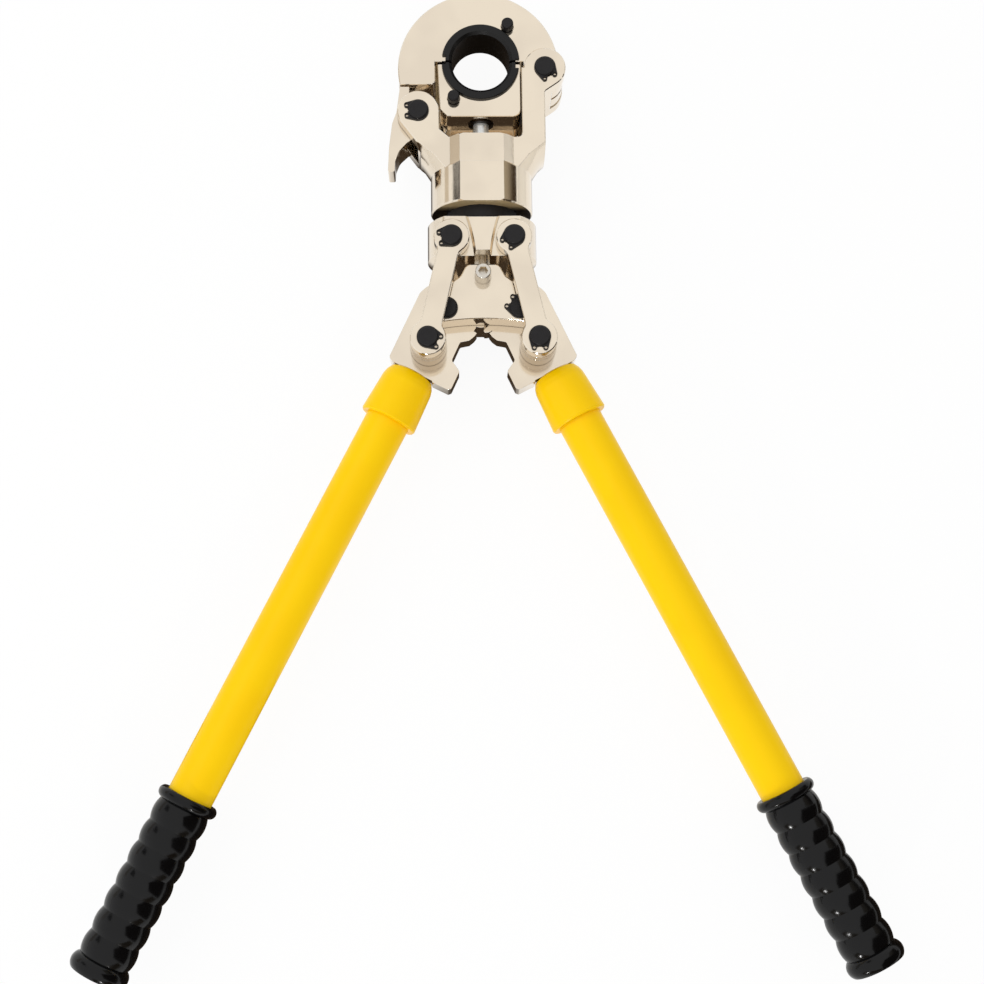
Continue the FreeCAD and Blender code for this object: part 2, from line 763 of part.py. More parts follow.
def link_slot():
    """Hole for the link end pin, opened along the path the pin takes in the plate."""
    x = crank[0] - link_end[0] + slot_shift
    y = link_end[1] - crank[1]
    half = pin_r + slot_half_extra
    top = disc(x, y + slot_up, half, -far, far)
    low = disc(x, y - slot_down, half, -far, far)
    run = block(x - half, x + half, y - slot_down, y + slot_up, -far, far)
    return top.multiFuse([low, run])


def onto_seat(shape):
    """Turns a shape drawn down the Y axis onto the shut handle's tube axis."""
    shape.rotate(ORIGIN, ZAXIS, close_angle - tube_angle)
    shape.translate(Vector(seat_u, seat_v, 0))
    return shape


def place_on_tube(shape):
    """Turns a shape drawn down the Y axis onto the left handle's tube at rest."""
    shape = onto_seat(shape)
    shape.rotate(ORIGIN, ZAXIS, -close_angle)
    shape.translate(Vector(-crank[0], crank[1], 0))
    return shape


def tang():
    """Tongue of the plate that is welded inside the ferrule and reaches into the tube."""
    return onto_seat(block(-tang_half_width, tang_half_width, -tang_length, 4.0,
                           -plate_half_thick, plate_half_thick))


def tube_profile(points):
    return revolved([(r, -s) for r, s in points], YAXIS)


def ferrule():
    """Tapered socket between plate and tube, with a round shoulder and a lip at the tube end."""
    outer = tube_profile([
        (0, 0.05), (ferrule_end_r - 2.2, 0.05), (ferrule_end_r, 1.2), (ferrule_shoulder_r - 1.0, 4.0),
        (ferrule_shoulder_r - 0.2, 7.0), (ferrule_shoulder_r, 10.0),
        (ferrule_lip_r, ferrule_length - 1.0), (ferrule_lip_r - 0.6, ferrule_length),
        (0, ferrule_length),
    ])
    socket = bar_y(tube_r + fit, -ferrule_length - 1, -ferrule_solid)
    slot = block(-tang_half_width - fit, tang_half_width + fit, -ferrule_length, 5,
                 -plate_half_thick - fit, plate_half_thick + fit)
    return place_on_tube(outer.cut(socket).cut(slot))


def tube():
    """Plain round tube from the ferrule to the end of the grip."""
    start = ferrule_solid + 0.1
    end = grip_start + grip_length - grip_cap
    inner = tube_r - tube_wall
    return place_on_tube(tube_profile([(inner, start), (tube_r, start), (tube_r, end), (inner, end)]))


def grip():
    """Ribbed rubber grip: a bead, round bulges and a larger bead that closes the end."""
    start = grip_start
    end = grip_start + grip_length
    bore = tube_r + fit
    edges = []

    def line(r0, s0, r1, s1):
        edges.append(Part.LineSegment(Vector(r0, -s0, 0), Vector(r1, -s1, 0)).toShape())

    def arc(r0, s0, rm, sm, r1, s1):
        edges.append(Part.Arc(Vector(r0, -s0, 0), Vector(rm, -sm, 0), Vector(r1, -s1, 0)).toShape())

    line(bore, start, grip_top_flange_r - 1.6, start)
    first = start + grip_top_flange_thick
    arc(grip_top_flange_r - 1.6, start, grip_top_flange_r, start + grip_top_flange_thick / 2, grip_neck_r, first)
    for i in range(grip_bulges):
        s0 = first + i * grip_pitch
        arc(grip_neck_r, s0, grip_bulge_r, s0 + grip_pitch / 2, grip_neck_r, s0 + grip_pitch)
    last = first + grip_bulges * grip_pitch
    arc(grip_neck_r, last, grip_end_flange_r, (last + end) / 2, grip_end_flange_r - 2.2, end)
    line(grip_end_flange_r - 2.2, end, 0, end)
    line(0, end, 0, end - grip_cap + fit)
    line(0, end - grip_cap + fit, bore, end - grip_cap + fit)
    line(bore, end - grip_cap + fit, bore, start)
    return place_on_tube(Part.Face(Part.Wire(edges)).revolve(ORIGIN, YAXIS, 360))


def latch_lever():
    """Latch lever on the left ear pin: hook arm above, finger spur below."""
    lx, ly = latch_pivot
    px, py = head_pivot
    outline = rounded_face([
        (lx + 3.5, ly + 8.8, 0), (-41.0, -20.5, 2.0), (-41.0, lever_top_y, 0), (-38.0, lever_top_y, 0),
        (-38.0, 1.2, 0), (-43.8, 1.5, 2.0), (-47.1, -4.0, 3.0), (-46.4, -16.5, 8.0), (-48.2, -30.5, 6.0),
        (-50.6, -37.1, 6.0), (-52.5, -51.6, 12.0), (-53.2, spur_tip_y, 0.9), (-49.4, spur_tip_y, 0.9),
        (-49.1, -59.3, 6.0), (-46.9, -53.4, 8.0), (-42.4, -48.8, 4.0), (lx + 3.0, ly - 9.2, 0),
    ])
    lever = plate(outline, -lever_half_thick, lever_half_thick)
    lever = lever.fuse(disc(lx, ly, lever_eye_r, -lever_half_thick, lever_half_thick)).removeSplitter()
    side = [
        (far, hook_half_thick), (lever_top_y, hook_half_thick), (lever_top_y, lever_half_thick),
        (spur_taper_y, lever_half_thick), (spur_tip_y, spur_half_thick), (-far, spur_half_thick),
    ]
    lever = lever.common(side_prism(side + [(y, -z) for y, z in reversed(side)], -far, far))
    sweep = disc(px, py, catch_r() + gap_part, -far, far)
    sweep = sweep.common(block(-far, far, c_limb_end_y - 1, far, -far, far))
    return lever.cut(sweep).cut(disc(lx, ly, pin_r + gap_running, -far, far))


def build():
    nodes = {}
    ax, ay = anchor
    bx, by = link_end
    cx, cy = crank
    px, py = head_pivot
    lx, ly = latch_pivot
    upper_knob = polar((0, 0), button_reach, button_angle)
    lower_knob = polar((0, 0), button_reach, button_angle + 180)
    link_clip_z = link_outer_z + gap_part
    ear_z = fork_half_thick

    nodes["fork_body"] = fork_body()
    nodes["head_pivot_pin"] = grooved_pin(px, py, ear_z + pin_stand, ear_z)
    nodes["latch_pin"] = grooved_pin(lx, ly, ear_z + pin_stand, ear_z)
    nodes["ear_circlips"] = Part.makeCompound(clip_pair(px, py, ear_z, -65) + clip_pair(lx, ly, ear_z, 182))
    nodes["c_head"] = c_head()
    nodes["upper_die"] = half_die()
    nodes["upper_die_button"] = button(upper_knob.x, upper_knob.y)
    nodes["upper_button_spring"] = button_spring(upper_knob.x, upper_knob.y)
    nodes["latch_lever"] = latch_lever()
    nodes["die_holder"] = die_holder()
    lower = half_die()
    lower.rotate(ORIGIN, ZAXIS, 180)
    nodes["lower_die"] = lowered(lower)
    nodes["lower_die_button"] = lowered(button(lower_knob.x, lower_knob.y))
    nodes["lower_button_spring"] = lowered(button_spring(lower_knob.x, lower_knob.y))
    nodes["rod_collar"] = rod_collar()
    nodes["link_block"] = link_block()
    nodes["swivel_ring"] = swivel_ring()
    nodes["anchor_pin_left"] = grooved_pin(-ax, ay, link_clip_z + pin_stand, link_clip_z)
    nodes["anchor_pin_right"] = grooved_pin(ax, ay, link_clip_z + pin_stand, link_clip_z)
    nodes["anchor_circlips"] = Part.makeCompound(
        clip_pair(-ax, ay, link_clip_z, 192) + clip_pair(ax, ay, link_clip_z, 228))
    nodes["push_rod"] = push_rod()
    nodes["push_block"] = push_block()
    nodes["lock_screw"] = lock_screw()
    nodes["crank_pin_left"] = grooved_pin(-cx, cy, crank_pin_end_z, cheek_outer_z)
    nodes["crank_pin_right"] = grooved_pin(cx, cy, crank_pin_end_z, cheek_outer_z)
    nodes["crank_circlips"] = Part.makeCompound(
        clip_pair(-cx, cy, cheek_outer_z, 200) + clip_pair(cx, cy, cheek_outer_z, 148))
    front = link(link_inner_z, link_outer_z)
    for side, sign, lug in (("left", -1, -25), ("right", 1, -90)):
        turn = mirrored if side == "left" else (lambda shape: shape)
        nodes[f"link_{side}_front"] = turn(front)
        nodes[f"link_{side}_back"] = turn(flipped(front))
        nodes[f"link_pin_{side}"] = grooved_pin(sign * bx, by, link_outer_z + pin_stand, link_outer_z)
        nodes[f"link_spacers_{side}"] = Part.makeCompound(
            [turn(link_spacer()), turn(flipped(link_spacer()))])
        nodes[f"link_circlips_{side}"] = Part.makeCompound(clip_pair(sign * bx, by, link_outer_z, lug))
    half_pitch = 180.0 / tooth_count
    nodes["handle_plate_left"] = handle_plate_left(0)
    nodes["handle_plate_right"] = mirrored(handle_plate_left(half_pitch))
    for name, make in (("ferrule", ferrule), ("tube", tube), ("grip", grip)):
        left = make()
        nodes[f"{name}_left"] = left
        nodes[f"{name}_right"] = mirrored(left)
    return nodes


def main():
    os.makedirs("parts", exist_ok=True)
    for name, shape in build().items():
        if not shape.isValid():
            raise RuntimeError(f"{name} is not a valid shape")
        shape.exportStep(f"parts/{name}.step")


main()
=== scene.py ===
import json
import math

import bmesh
import bpy
from bpy.props import FloatProperty, FloatVectorProperty, PointerProperty
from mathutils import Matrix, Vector

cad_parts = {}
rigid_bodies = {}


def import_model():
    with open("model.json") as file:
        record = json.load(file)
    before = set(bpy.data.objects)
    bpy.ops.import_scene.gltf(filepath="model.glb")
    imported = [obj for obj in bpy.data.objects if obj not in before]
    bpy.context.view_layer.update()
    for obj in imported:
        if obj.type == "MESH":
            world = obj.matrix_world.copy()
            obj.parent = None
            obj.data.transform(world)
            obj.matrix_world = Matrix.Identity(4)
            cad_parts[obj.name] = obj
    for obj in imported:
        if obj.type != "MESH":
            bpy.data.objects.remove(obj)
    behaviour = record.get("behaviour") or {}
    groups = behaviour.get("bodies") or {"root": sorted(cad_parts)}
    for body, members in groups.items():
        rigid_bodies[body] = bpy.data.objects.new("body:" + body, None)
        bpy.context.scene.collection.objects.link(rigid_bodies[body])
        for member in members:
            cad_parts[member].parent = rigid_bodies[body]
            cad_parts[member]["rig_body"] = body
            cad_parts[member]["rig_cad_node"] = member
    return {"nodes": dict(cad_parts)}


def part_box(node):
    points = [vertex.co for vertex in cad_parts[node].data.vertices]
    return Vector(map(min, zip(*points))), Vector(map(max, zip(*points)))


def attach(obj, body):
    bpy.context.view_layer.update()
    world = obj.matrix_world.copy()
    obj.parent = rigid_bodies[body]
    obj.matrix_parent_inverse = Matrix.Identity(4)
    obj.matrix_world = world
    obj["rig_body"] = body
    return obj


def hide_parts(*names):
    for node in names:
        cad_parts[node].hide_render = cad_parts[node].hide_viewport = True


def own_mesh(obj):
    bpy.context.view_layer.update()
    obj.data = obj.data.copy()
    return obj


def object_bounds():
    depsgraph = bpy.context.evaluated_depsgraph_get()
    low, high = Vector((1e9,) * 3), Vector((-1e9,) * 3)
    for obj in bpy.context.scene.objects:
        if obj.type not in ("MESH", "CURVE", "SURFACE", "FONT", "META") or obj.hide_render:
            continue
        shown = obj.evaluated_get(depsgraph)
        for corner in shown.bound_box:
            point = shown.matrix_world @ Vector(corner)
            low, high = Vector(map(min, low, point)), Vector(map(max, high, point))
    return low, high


bl_info = {
    "name": "Pipe crimping tool",
    "version": (1, 0, 0),
    "blender": (4, 5, 0),
    "location": "View3D > Sidebar > Crimping tool",
    "description": "Finishes a two-handled pipe crimping tool and sets its studio",
    "category": "Object",
}

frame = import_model()
cad_low, cad_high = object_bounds()

MM = 0.001
QUARTER_TURN = math.radians(90)
WHITE = (1.0, 1.0, 1.0, 1.0)

# How near two points, or a point and a plane, count as one
WELD_REACH = 0.002 * MM
CUT_REACH = 0.001 * MM
PLANE_REACH = 0.1 * MM

# How far a normal leans towards an axis, 0 to 1
ALONG = 0.9
HALF_WAY = 0.5
ACROSS = 0.1

# Sockets of a colour Mix node, whose names aren't unique
SHARE, FIRST, SECOND, MIXED = 0, 6, 7, 2

# Where nearly all of a noise's values lie
NOISE_SPAN = (0.3, 0.7)


def linear(hex_colour):
    """Linear RGBA of an sRGB colour written as #RRGGBB."""
    channels = [int(hex_colour[i:i + 2], 16) / 255 for i in (1, 3, 5)]
    curve = [c / 12.92 if c <= 0.04045 else ((c + 0.055) / 1.055) ** 2.4 for c in channels]
    return (*curve, 1.0)


def colour(name, description, hex_colour):
    return FloatVectorProperty(name=name, description=description, default=linear(hex_colour),
                               size=4, min=0, max=1, subtype="COLOR")


def millimetres(name, description, value):
    return FloatProperty(name=name, description=description, default=value * MM, min=0,
                         unit="LENGTH", precision=5)


class CrimperColours(bpy.types.PropertyGroup):
    nickel: colour("Nickel", "Satin nickel plate where it looks pinkish", "#E3D6C3")
    nickel_warm: colour("Nickel, warm", "Satin nickel plate where it looks straw coloured", "#EADDC9")
    # Lighter colour along edges: partly rubbed wear, partly a painted highlight.
    edge_wear_and_highlight: colour("Nickel edge", "Nickel rubbed bright along an edge", "#F6F1E8")
    # Darker nickel of the spacers: painted shade standing in for the shade they reflect.
    spacer_shade: colour("Spacer", "Plate of the spacers, dulled by oil", "#B7A488")
    # Brown painted shade that ambient occlusion puts in corners and where parts meet.
    painted_shade: colour("Oil film", "Oil left in the corners of the nickel", "#6B5A44")
    # Painted shade of the gaps, used near the middle plane.
    painted_gap_shade: colour("Old oil", "Bearing faces under old oil", "#2B211A")
    # Painted golden light on the same faces, further in front and behind.
    painted_rim_light: colour("Rubbed oil", "Rim of the bearing faces, rubbed golden", "#D2BC92")
    screw: colour("Screw plate", "Zinc plate of the lock screw", "#D6D0C6")
    oxide: colour("Black oxide", "Pins, retaining rings, die buttons and spindle", "#1A1819")
    die: colour("Die steel", "Blackened crimping dies", "#0A0909")
    bright: colour("Bright steel", "Plated push rod", "#E6E7E6")
    spring: colour("Spring steel", "Drawn spring wire", "#8C8C8E")
    enamel: colour("Enamel", "Handle enamel", "#FFD003")
    enamel_deep: colour("Enamel, thick", "Handle enamel where it has pooled", "#FCC600")
    grip: colour("Grip", "Dipped black vinyl of the grips", "#070708")
    floor: colour("Floor", "Pale studio floor", "#FBFBFA")
    flag: colour("Flags", "Dark cards that shiny metal reflects", "#40352A")


class CrimperSizes(bpy.types.PropertyGroup):
    barrel_flat: millimetres("Barrel flat", "Distance of the barrel's flats from the middle plane", 26.4)
    edge_round: millimetres("Edge round", "Radius that tumbling leaves on plated edges", 0.3)
    smooth_angle: FloatProperty(name="Smooth angle", description="Edges flatter than this look round",
                                default=math.radians(28), subtype="ANGLE")
    foot_front: millimetres("Foot front", "How far behind the middle plane the holder's foot starts", 8.0)
    foot_rise: millimetres("Foot rise", "Height of the holder's lower edge that moves with the foot", 2.0)
    foot_drop: millimetres("Foot drop", "How much lower the holder is behind its rod", 3.7)
    foot_widen: millimetres("Foot width", "How much wider the foot is on the latch side", 2.6)
    web_rise: millimetres("Web rise", "Height of the web above the link block", 4.0)
    web_drop: millimetres("Web drop", "How far the web's end stands below the block's top", 1.9)
    block_top: millimetres("Block top", "Top of the link block, below the die centre", 96.6)
    spindle_foot: millimetres("Spindle foot", "Height above the block's top where the spindle starts", 0.3)
    end_round: millimetres("End round", "How deep the rounding of the barrel's end reaches", 1.2)
    arm_half: millimetres("Arm half", "Half the thickness of the fork's arms", 20.5)
    strip_wide: millimetres("Strip width", "Width of the strips behind the holder's gaps", 4.0)
    strip_thick: millimetres("Strip thickness", "Thickness of those strips", 1.0)
    strip_inset: millimetres("Strip inset", "Middle of the strips, in front of the arms' back", 0.6)
    strip_round: millimetres("Strip round", "Rounding of the strips' edges", 0.2)
    slot_strip_x: millimetres("Slot strip across", "Middle of the left strip, left of the middle", 24.6)
    slot_strip_y: millimetres("Slot strip down", "Middle of the left strip, below the die centre", 13.0)
    slot_strip_long: millimetres("Slot strip length", "Length of the left strip", 40.0)
    foot_strip_x: millimetres("Foot strip across", "Middle of the right strip, right of the middle", 24.0)
    foot_strip_y: millimetres("Foot strip down", "Middle of the right strip, below the die centre", 34.5)
    foot_strip_long: millimetres("Foot strip length", "Length of the right strip", 19.0)
    button_travel: millimetres("Button travel", "How far a die button presses in", 2.5)
    socket_reach: millimetres("Socket reach", "How far from its axis the lock screw's socket reaches", 2.9)
    eye_reach: millimetres("Eye reach", "No eye of a retaining ring is wider across than this", 1.0)
    eye_grow: FloatProperty(name="Eye growth", default=1.3, min=1,
                            description="How much wider the eyes of the rings are drilled")
    tube_seat_x: millimetres("Tube seat, across", "Where a tube starts, from the middle plane", 39.66)
    tube_seat_y: millimetres("Tube seat, down", "Where a tube starts, below the die centre", 181.18)
    tube_angle: FloatProperty(name="Tube angle", description="Spread of a handle from the middle",
                              default=math.atan2(0.4571, 0.8894), subtype="ANGLE")
    grip_neck: millimetres("Grip neck", "Radius of a grip between its bulges", 13.75)
    bead_start: millimetres("Bead start", "Where a grip's end bead starts along its tube", 354.6)
    bead_slim: FloatProperty(name="Bead height", default=0.72, min=0, max=1,
                             description="Share of the moulded bead's height that is kept")
    bead_short: FloatProperty(name="Bead length", default=0.78, min=0, max=1,
                              description="Share of the moulded bead's length that is kept")


class CrimperPatterns(bpy.types.PropertyGroup):
    tint_patch: millimetres("Tint patch", "Width of the patches where the plate changes tint", 30.0)
    plate_haze: millimetres("Plate haze", "Width of the duller patches in the plate", 9.0)
    peel: millimetres("Plating ripple", "Width of the ripples in the plated surface", 1.4)
    # Reach of the painted shade in corners: the distance of the occlusion node.
    corner: millimetres("Corner film", "How far the oil film reaches out of a corner", 1.3)
    # Depth from the middle plane where the painted shade turns to the painted golden light.
    lit_rim: millimetres("Rubbed rim", "How far from the middle plane bearing faces turn golden", 13.0)
    lit_rim_fade: millimetres("Rubbed fade", "Half the width over which they turn golden", 4.0)
    gap_patches: millimetres("Oil patches", "Width of the patches in the old oil", 6.0)
    oxide_cloud: millimetres("Oxide clouds", "Width of the duller clouds in the black oxide", 3.0)
    oxide_grain: millimetres("Oxide grain", "Grain of the black oxide", 0.5)
    turning: millimetres("Turning marks", "Spacing of the turned rings on the dies", 0.9)
    die_wear: millimetres("Die wear", "Width of the worn patches on the dies", 5.0)
    ground_lines: millimetres("Ground lines", "Spacing of the fine lines on the push rod", 0.6)
    ground_smear: millimetres("Smears", "Width of the smears on bright steel", 4.0)
    wire_draw: millimetres("Drawing marks", "Width of the marks that drawing leaves on wire", 0.4)
    enamel_ripple: millimetres("Enamel ripple", "Width of the ripples in the sprayed enamel", 6.0)
    enamel_pool: millimetres("Enamel pools", "Width of the places where the enamel is thicker", 40.0)
    vinyl_flow: millimetres("Vinyl flow", "Width of the flow marks in the grips", 7.0)
    vinyl_grain: millimetres("Vinyl grain", "Width of the fine unevenness of the grips", 2.5)
    cloth_weave: millimetres("Flag holes", "Width of the holes in the pierced flag", 45.0)


class CrimperStage(bpy.types.PropertyGroup):
    camera_place: FloatVectorProperty(name="Camera place", description="Where the camera stands",
                                      default=(-0.01525, -0.40313, 0.86980),
                                      subtype="TRANSLATION", unit="LENGTH")
    camera_turn: FloatVectorProperty(name="Camera turn", description="Turn of the camera about X, Y and Z",
                                     default=(0.17576, -0.02035, -0.01086), subtype="EULER")
    lens: FloatProperty(name="Lens", description="Focal length on a sensor 36 mm wide", default=58.35)
    key_power: FloatProperty(name="Key light", description="Power of the large light above",
                             default=6.0, unit="POWER")
    side_power: FloatProperty(name="Side light", description="Power of the light on the left",
                              default=1.0, unit="POWER")
    spark_power: FloatProperty(name="Small light", description="Power of the small light beyond the grips",
                               default=3.0, unit="POWER")
    fill: FloatProperty(name="Fill", description="Level of the sky on matt surfaces", default=0.75, min=0)
    floor_glow: FloatProperty(name="Floor glow", default=0.93, min=0, max=1,
                              description="Share of plain white in the floor that is seen")
    floor_side: FloatProperty(name="Floor side", description="Length of the floor's side", default=40.0,
                              unit="LENGTH")
    floor_gap: millimetres("Floor gap", "Room between the tool and the floor", 0.5)
    card_gap: millimetres("Card gap", "Room between the tool and the cards on the floor", 0.3)


def settings():
    """The colours, sizes and pattern widths as they are set."""
    scene = bpy.context.scene
    return scene.crimper_colours, scene.crimper_sizes, scene.crimper_patterns


def add_node(tree, kind, inputs=None, **choices):
    """Adds a node with its choices. Inputs map a socket to a value or to the output that feeds it."""
    made = tree.nodes.new(kind)
    for key, value in choices.items():
        setattr(made, key, value)
    for key, value in (inputs or {}).items():
        if isinstance(value, bpy.types.NodeSocket):
            tree.links.new(value, made.inputs[key])
        else:
            made.inputs[key].default_value = value
    return made


def ramp(low, high, at_low, at_high):
    """Inputs of a Map Range node that turns low to high into at_low to at_high."""
    return {"From Min": low, "From Max": high, "To Min": at_low, "To Max": at_high}


def blend(share, first, second):
    """Inputs of a colour Mix node."""
    return {SHARE: share, FIRST: first, SECOND: second}


def new_material(name):
    """Empty node material with its tree, and the object's coordinates in millimetres."""
    material = bpy.data.materials.new(name)
    material.use_nodes = True
    tree = material.node_tree
    tree.nodes.clear()
    coordinates = add_node(tree, "ShaderNodeTexCoord")
    in_mm = add_node(tree, "ShaderNodeVectorMath", {0: coordinates.outputs["Object"], 1: (1 / MM,) * 3},
                     operation="MULTIPLY")
    return material, tree, in_mm.outputs[0]


def finish_material(tree, shader):
    add_node(tree, "ShaderNodeOutputMaterial", {"Surface": shader.outputs[0]})


def per_mm(length):
    """Noise scale, per millimetre, whose features are about this long."""
    return MM / length


def nickel_plate(name="satin_nickel_plate", tones=("nickel", "nickel_warm")):
    """Forged steel, tumbled and nickel plated: satin, lighter on rubbed edges with a painted highlight
    there too, and painted brown shade in corners.
    """
    colours, sizes, patterns = settings()
    material, tree, spot = new_material(name)
    geometry = add_node(tree, "ShaderNodeNewGeometry")
    rounded = add_node(tree, "ShaderNodeBevel", {"Radius": sizes.edge_round}, samples=4)
    along = add_node(tree, "ShaderNodeVectorMath",
                     {0: rounded.outputs[0], 1: geometry.outputs["Normal"]}, operation="DOT_PRODUCT")
    edge = add_node(tree, "ShaderNodeMapRange",
                    {"Value": along.outputs["Value"], **ramp(0.995, 0.93, 0, 1)})
    tint = add_node(tree, "ShaderNodeTexNoise", {"Vector": spot, "Scale": per_mm(patterns.tint_patch),
                                                 "Detail": 2.0, "Roughness": 0.5})
    patch = add_node(tree, "ShaderNodeMapRange", {"Value": tint.outputs["Fac"], **ramp(0.4, 0.6, 0, 1)})
    base = add_node(tree, "ShaderNodeMix",
                    blend(patch.outputs[0], getattr(colours, tones[0]), getattr(colours, tones[1])),
                    data_type="RGBA")
    # The edge mask lightens the colour: rubbed wear and a painted edge highlight together.
    rubbed = add_node(tree, "ShaderNodeMix",
                      blend(edge.outputs[0], base.outputs[MIXED], colours.edge_wear_and_highlight),
                      data_type="RGBA")
    # Painted shade: ambient occlusion darkens corners and contacts towards brown.
    corner = add_node(tree, "ShaderNodeAmbientOcclusion", {"Distance": patterns.corner}, samples=6)
    corner_shade_share = add_node(tree, "ShaderNodeMapRange",
                    {"Value": corner.outputs["AO"], **ramp(0.25, 0.75, 0.75, 0)})
    corner_shaded = add_node(tree, "ShaderNodeMix",
                       blend(corner_shade_share.outputs[0], rubbed.outputs[MIXED], colours.painted_shade),
                       data_type="RGBA")
    haze = add_node(tree, "ShaderNodeTexNoise",
                    {"Vector": spot, "Scale": per_mm(patterns.plate_haze), "Detail": 5.0})
    dull = add_node(tree, "ShaderNodeMapRange",
                    {"Value": haze.outputs["Fac"], **ramp(*NOISE_SPAN, 0.08, 0.15)})
    peel = add_node(tree, "ShaderNodeTexNoise",
                    {"Vector": spot, "Scale": per_mm(patterns.peel), "Detail": 3.0})
    ripple = add_node(tree, "ShaderNodeBump", {"Height": peel.outputs["Fac"], "Strength": 0.03,
                                               "Distance": 0.1 * MM, "Normal": rounded.outputs[0]})
    shader = add_node(tree, "ShaderNodeBsdfPrincipled",
                      {"Base Color": corner_shaded.outputs[MIXED], "Metallic": 1.0,
                       "Roughness": dull.outputs[0], "Normal": ripple.outputs[0]})
    finish_material(tree, shader)
    return material


def shaded_spacer_plate():
    """Nickel of the spacers, a darker and browner copy of the plate: painted shade that the stack reflects.
    """
    return nickel_plate("shaded_nickel_plate", ("spacer_shade", "spacer_shade"))


def black_oxide():
    """Blackened steel with an oily sheen: nearly black, a little brown, with soft broad highlights."""
    colours, sizes, patterns = settings()
    material, tree, spot = new_material("black_oxide_steel")
    rounded = add_node(tree, "ShaderNodeBevel", {"Radius": sizes.edge_round * 0.7}, samples=4)
    cloud = add_node(tree, "ShaderNodeTexNoise",
                     {"Vector": spot, "Scale": per_mm(patterns.oxide_cloud), "Detail": 4.0})
    dull = add_node(tree, "ShaderNodeMapRange",
                    {"Value": cloud.outputs["Fac"], **ramp(*NOISE_SPAN, 0.4, 0.55)})
    grain = add_node(tree, "ShaderNodeTexNoise",
                     {"Vector": spot, "Scale": per_mm(patterns.oxide_grain), "Detail": 2.0})
    relief = add_node(tree, "ShaderNodeBump", {"Height": grain.outputs["Fac"], "Strength": 0.12,
                                               "Distance": 0.05 * MM, "Normal": rounded.outputs[0]})
    shader = add_node(tree, "ShaderNodeBsdfPrincipled",
                      {"Base Color": colours.oxide, "Specular IOR Level": 0.26,
                       "Roughness": dull.outputs[0], "Normal": relief.outputs[0]})
    finish_material(tree, shader)
    return material


def die_steel():
    """Turned and blackened die steel: fine rings round the bore that catch the light."""
    colours, sizes, patterns = settings()
    material, tree, spot = new_material("blackened_die_steel")
    rounded = add_node(tree, "ShaderNodeBevel", {"Radius": sizes.edge_round}, samples=4)
    rings = add_node(tree, "ShaderNodeTexWave",
                     {"Vector": spot, "Scale": per_mm(patterns.turning) / 2, "Distortion": 0.4},
                     wave_type="BANDS", bands_direction="Z")
    relief = add_node(tree, "ShaderNodeBump", {"Height": rings.outputs["Fac"], "Strength": 0.25,
                                               "Distance": 0.05 * MM, "Normal": rounded.outputs[0]})
    wear = add_node(tree, "ShaderNodeTexNoise",
                    {"Vector": spot, "Scale": per_mm(patterns.die_wear), "Detail": 4.0})
    dull = add_node(tree, "ShaderNodeMapRange",
                    {"Value": wear.outputs["Fac"], **ramp(*NOISE_SPAN, 0.26, 0.42)})
    shader = add_node(tree, "ShaderNodeBsdfPrincipled",
                      {"Base Color": colours.die, "Specular IOR Level": 0.3,
                       "Roughness": dull.outputs[0], "Normal": relief.outputs[0]})
    finish_material(tree, shader)
    return material


def bright_steel(name="bright_plated_steel", tone="bright", metal=0.6):
    """Ground and plated steel: the brightest metal, with fine turned lines and some milky plate."""
    colours, sizes, patterns = settings()
    material, tree, spot = new_material(name)
    rounded = add_node(tree, "ShaderNodeBevel", {"Radius": sizes.edge_round}, samples=4)
    lines = add_node(tree, "ShaderNodeTexWave",
                     {"Vector": spot, "Scale": per_mm(patterns.ground_lines) / 2, "Distortion": 1.0},
                     wave_type="BANDS", bands_direction="Y")
    relief = add_node(tree, "ShaderNodeBump", {"Height": lines.outputs["Fac"], "Strength": 0.05,
                                               "Distance": 0.02 * MM, "Normal": rounded.outputs[0]})
    smear = add_node(tree, "ShaderNodeTexNoise",
                     {"Vector": spot, "Scale": per_mm(patterns.ground_smear), "Detail": 3.0})
    dull = add_node(tree, "ShaderNodeMapRange",
                    {"Value": smear.outputs["Fac"], **ramp(*NOISE_SPAN, 0.24, 0.36)})
    shader = add_node(tree, "ShaderNodeBsdfPrincipled",
                      {"Base Color": getattr(colours, tone), "Metallic": metal,
                       "Roughness": dull.outputs[0], "Normal": relief.outputs[0]})
    finish_material(tree, shader)
    return material


def screw_plate():
    """Zinc plate of the lock screw, greyer than the rod."""
    return bright_steel("zinc_plated_screw", "screw", 1.0)


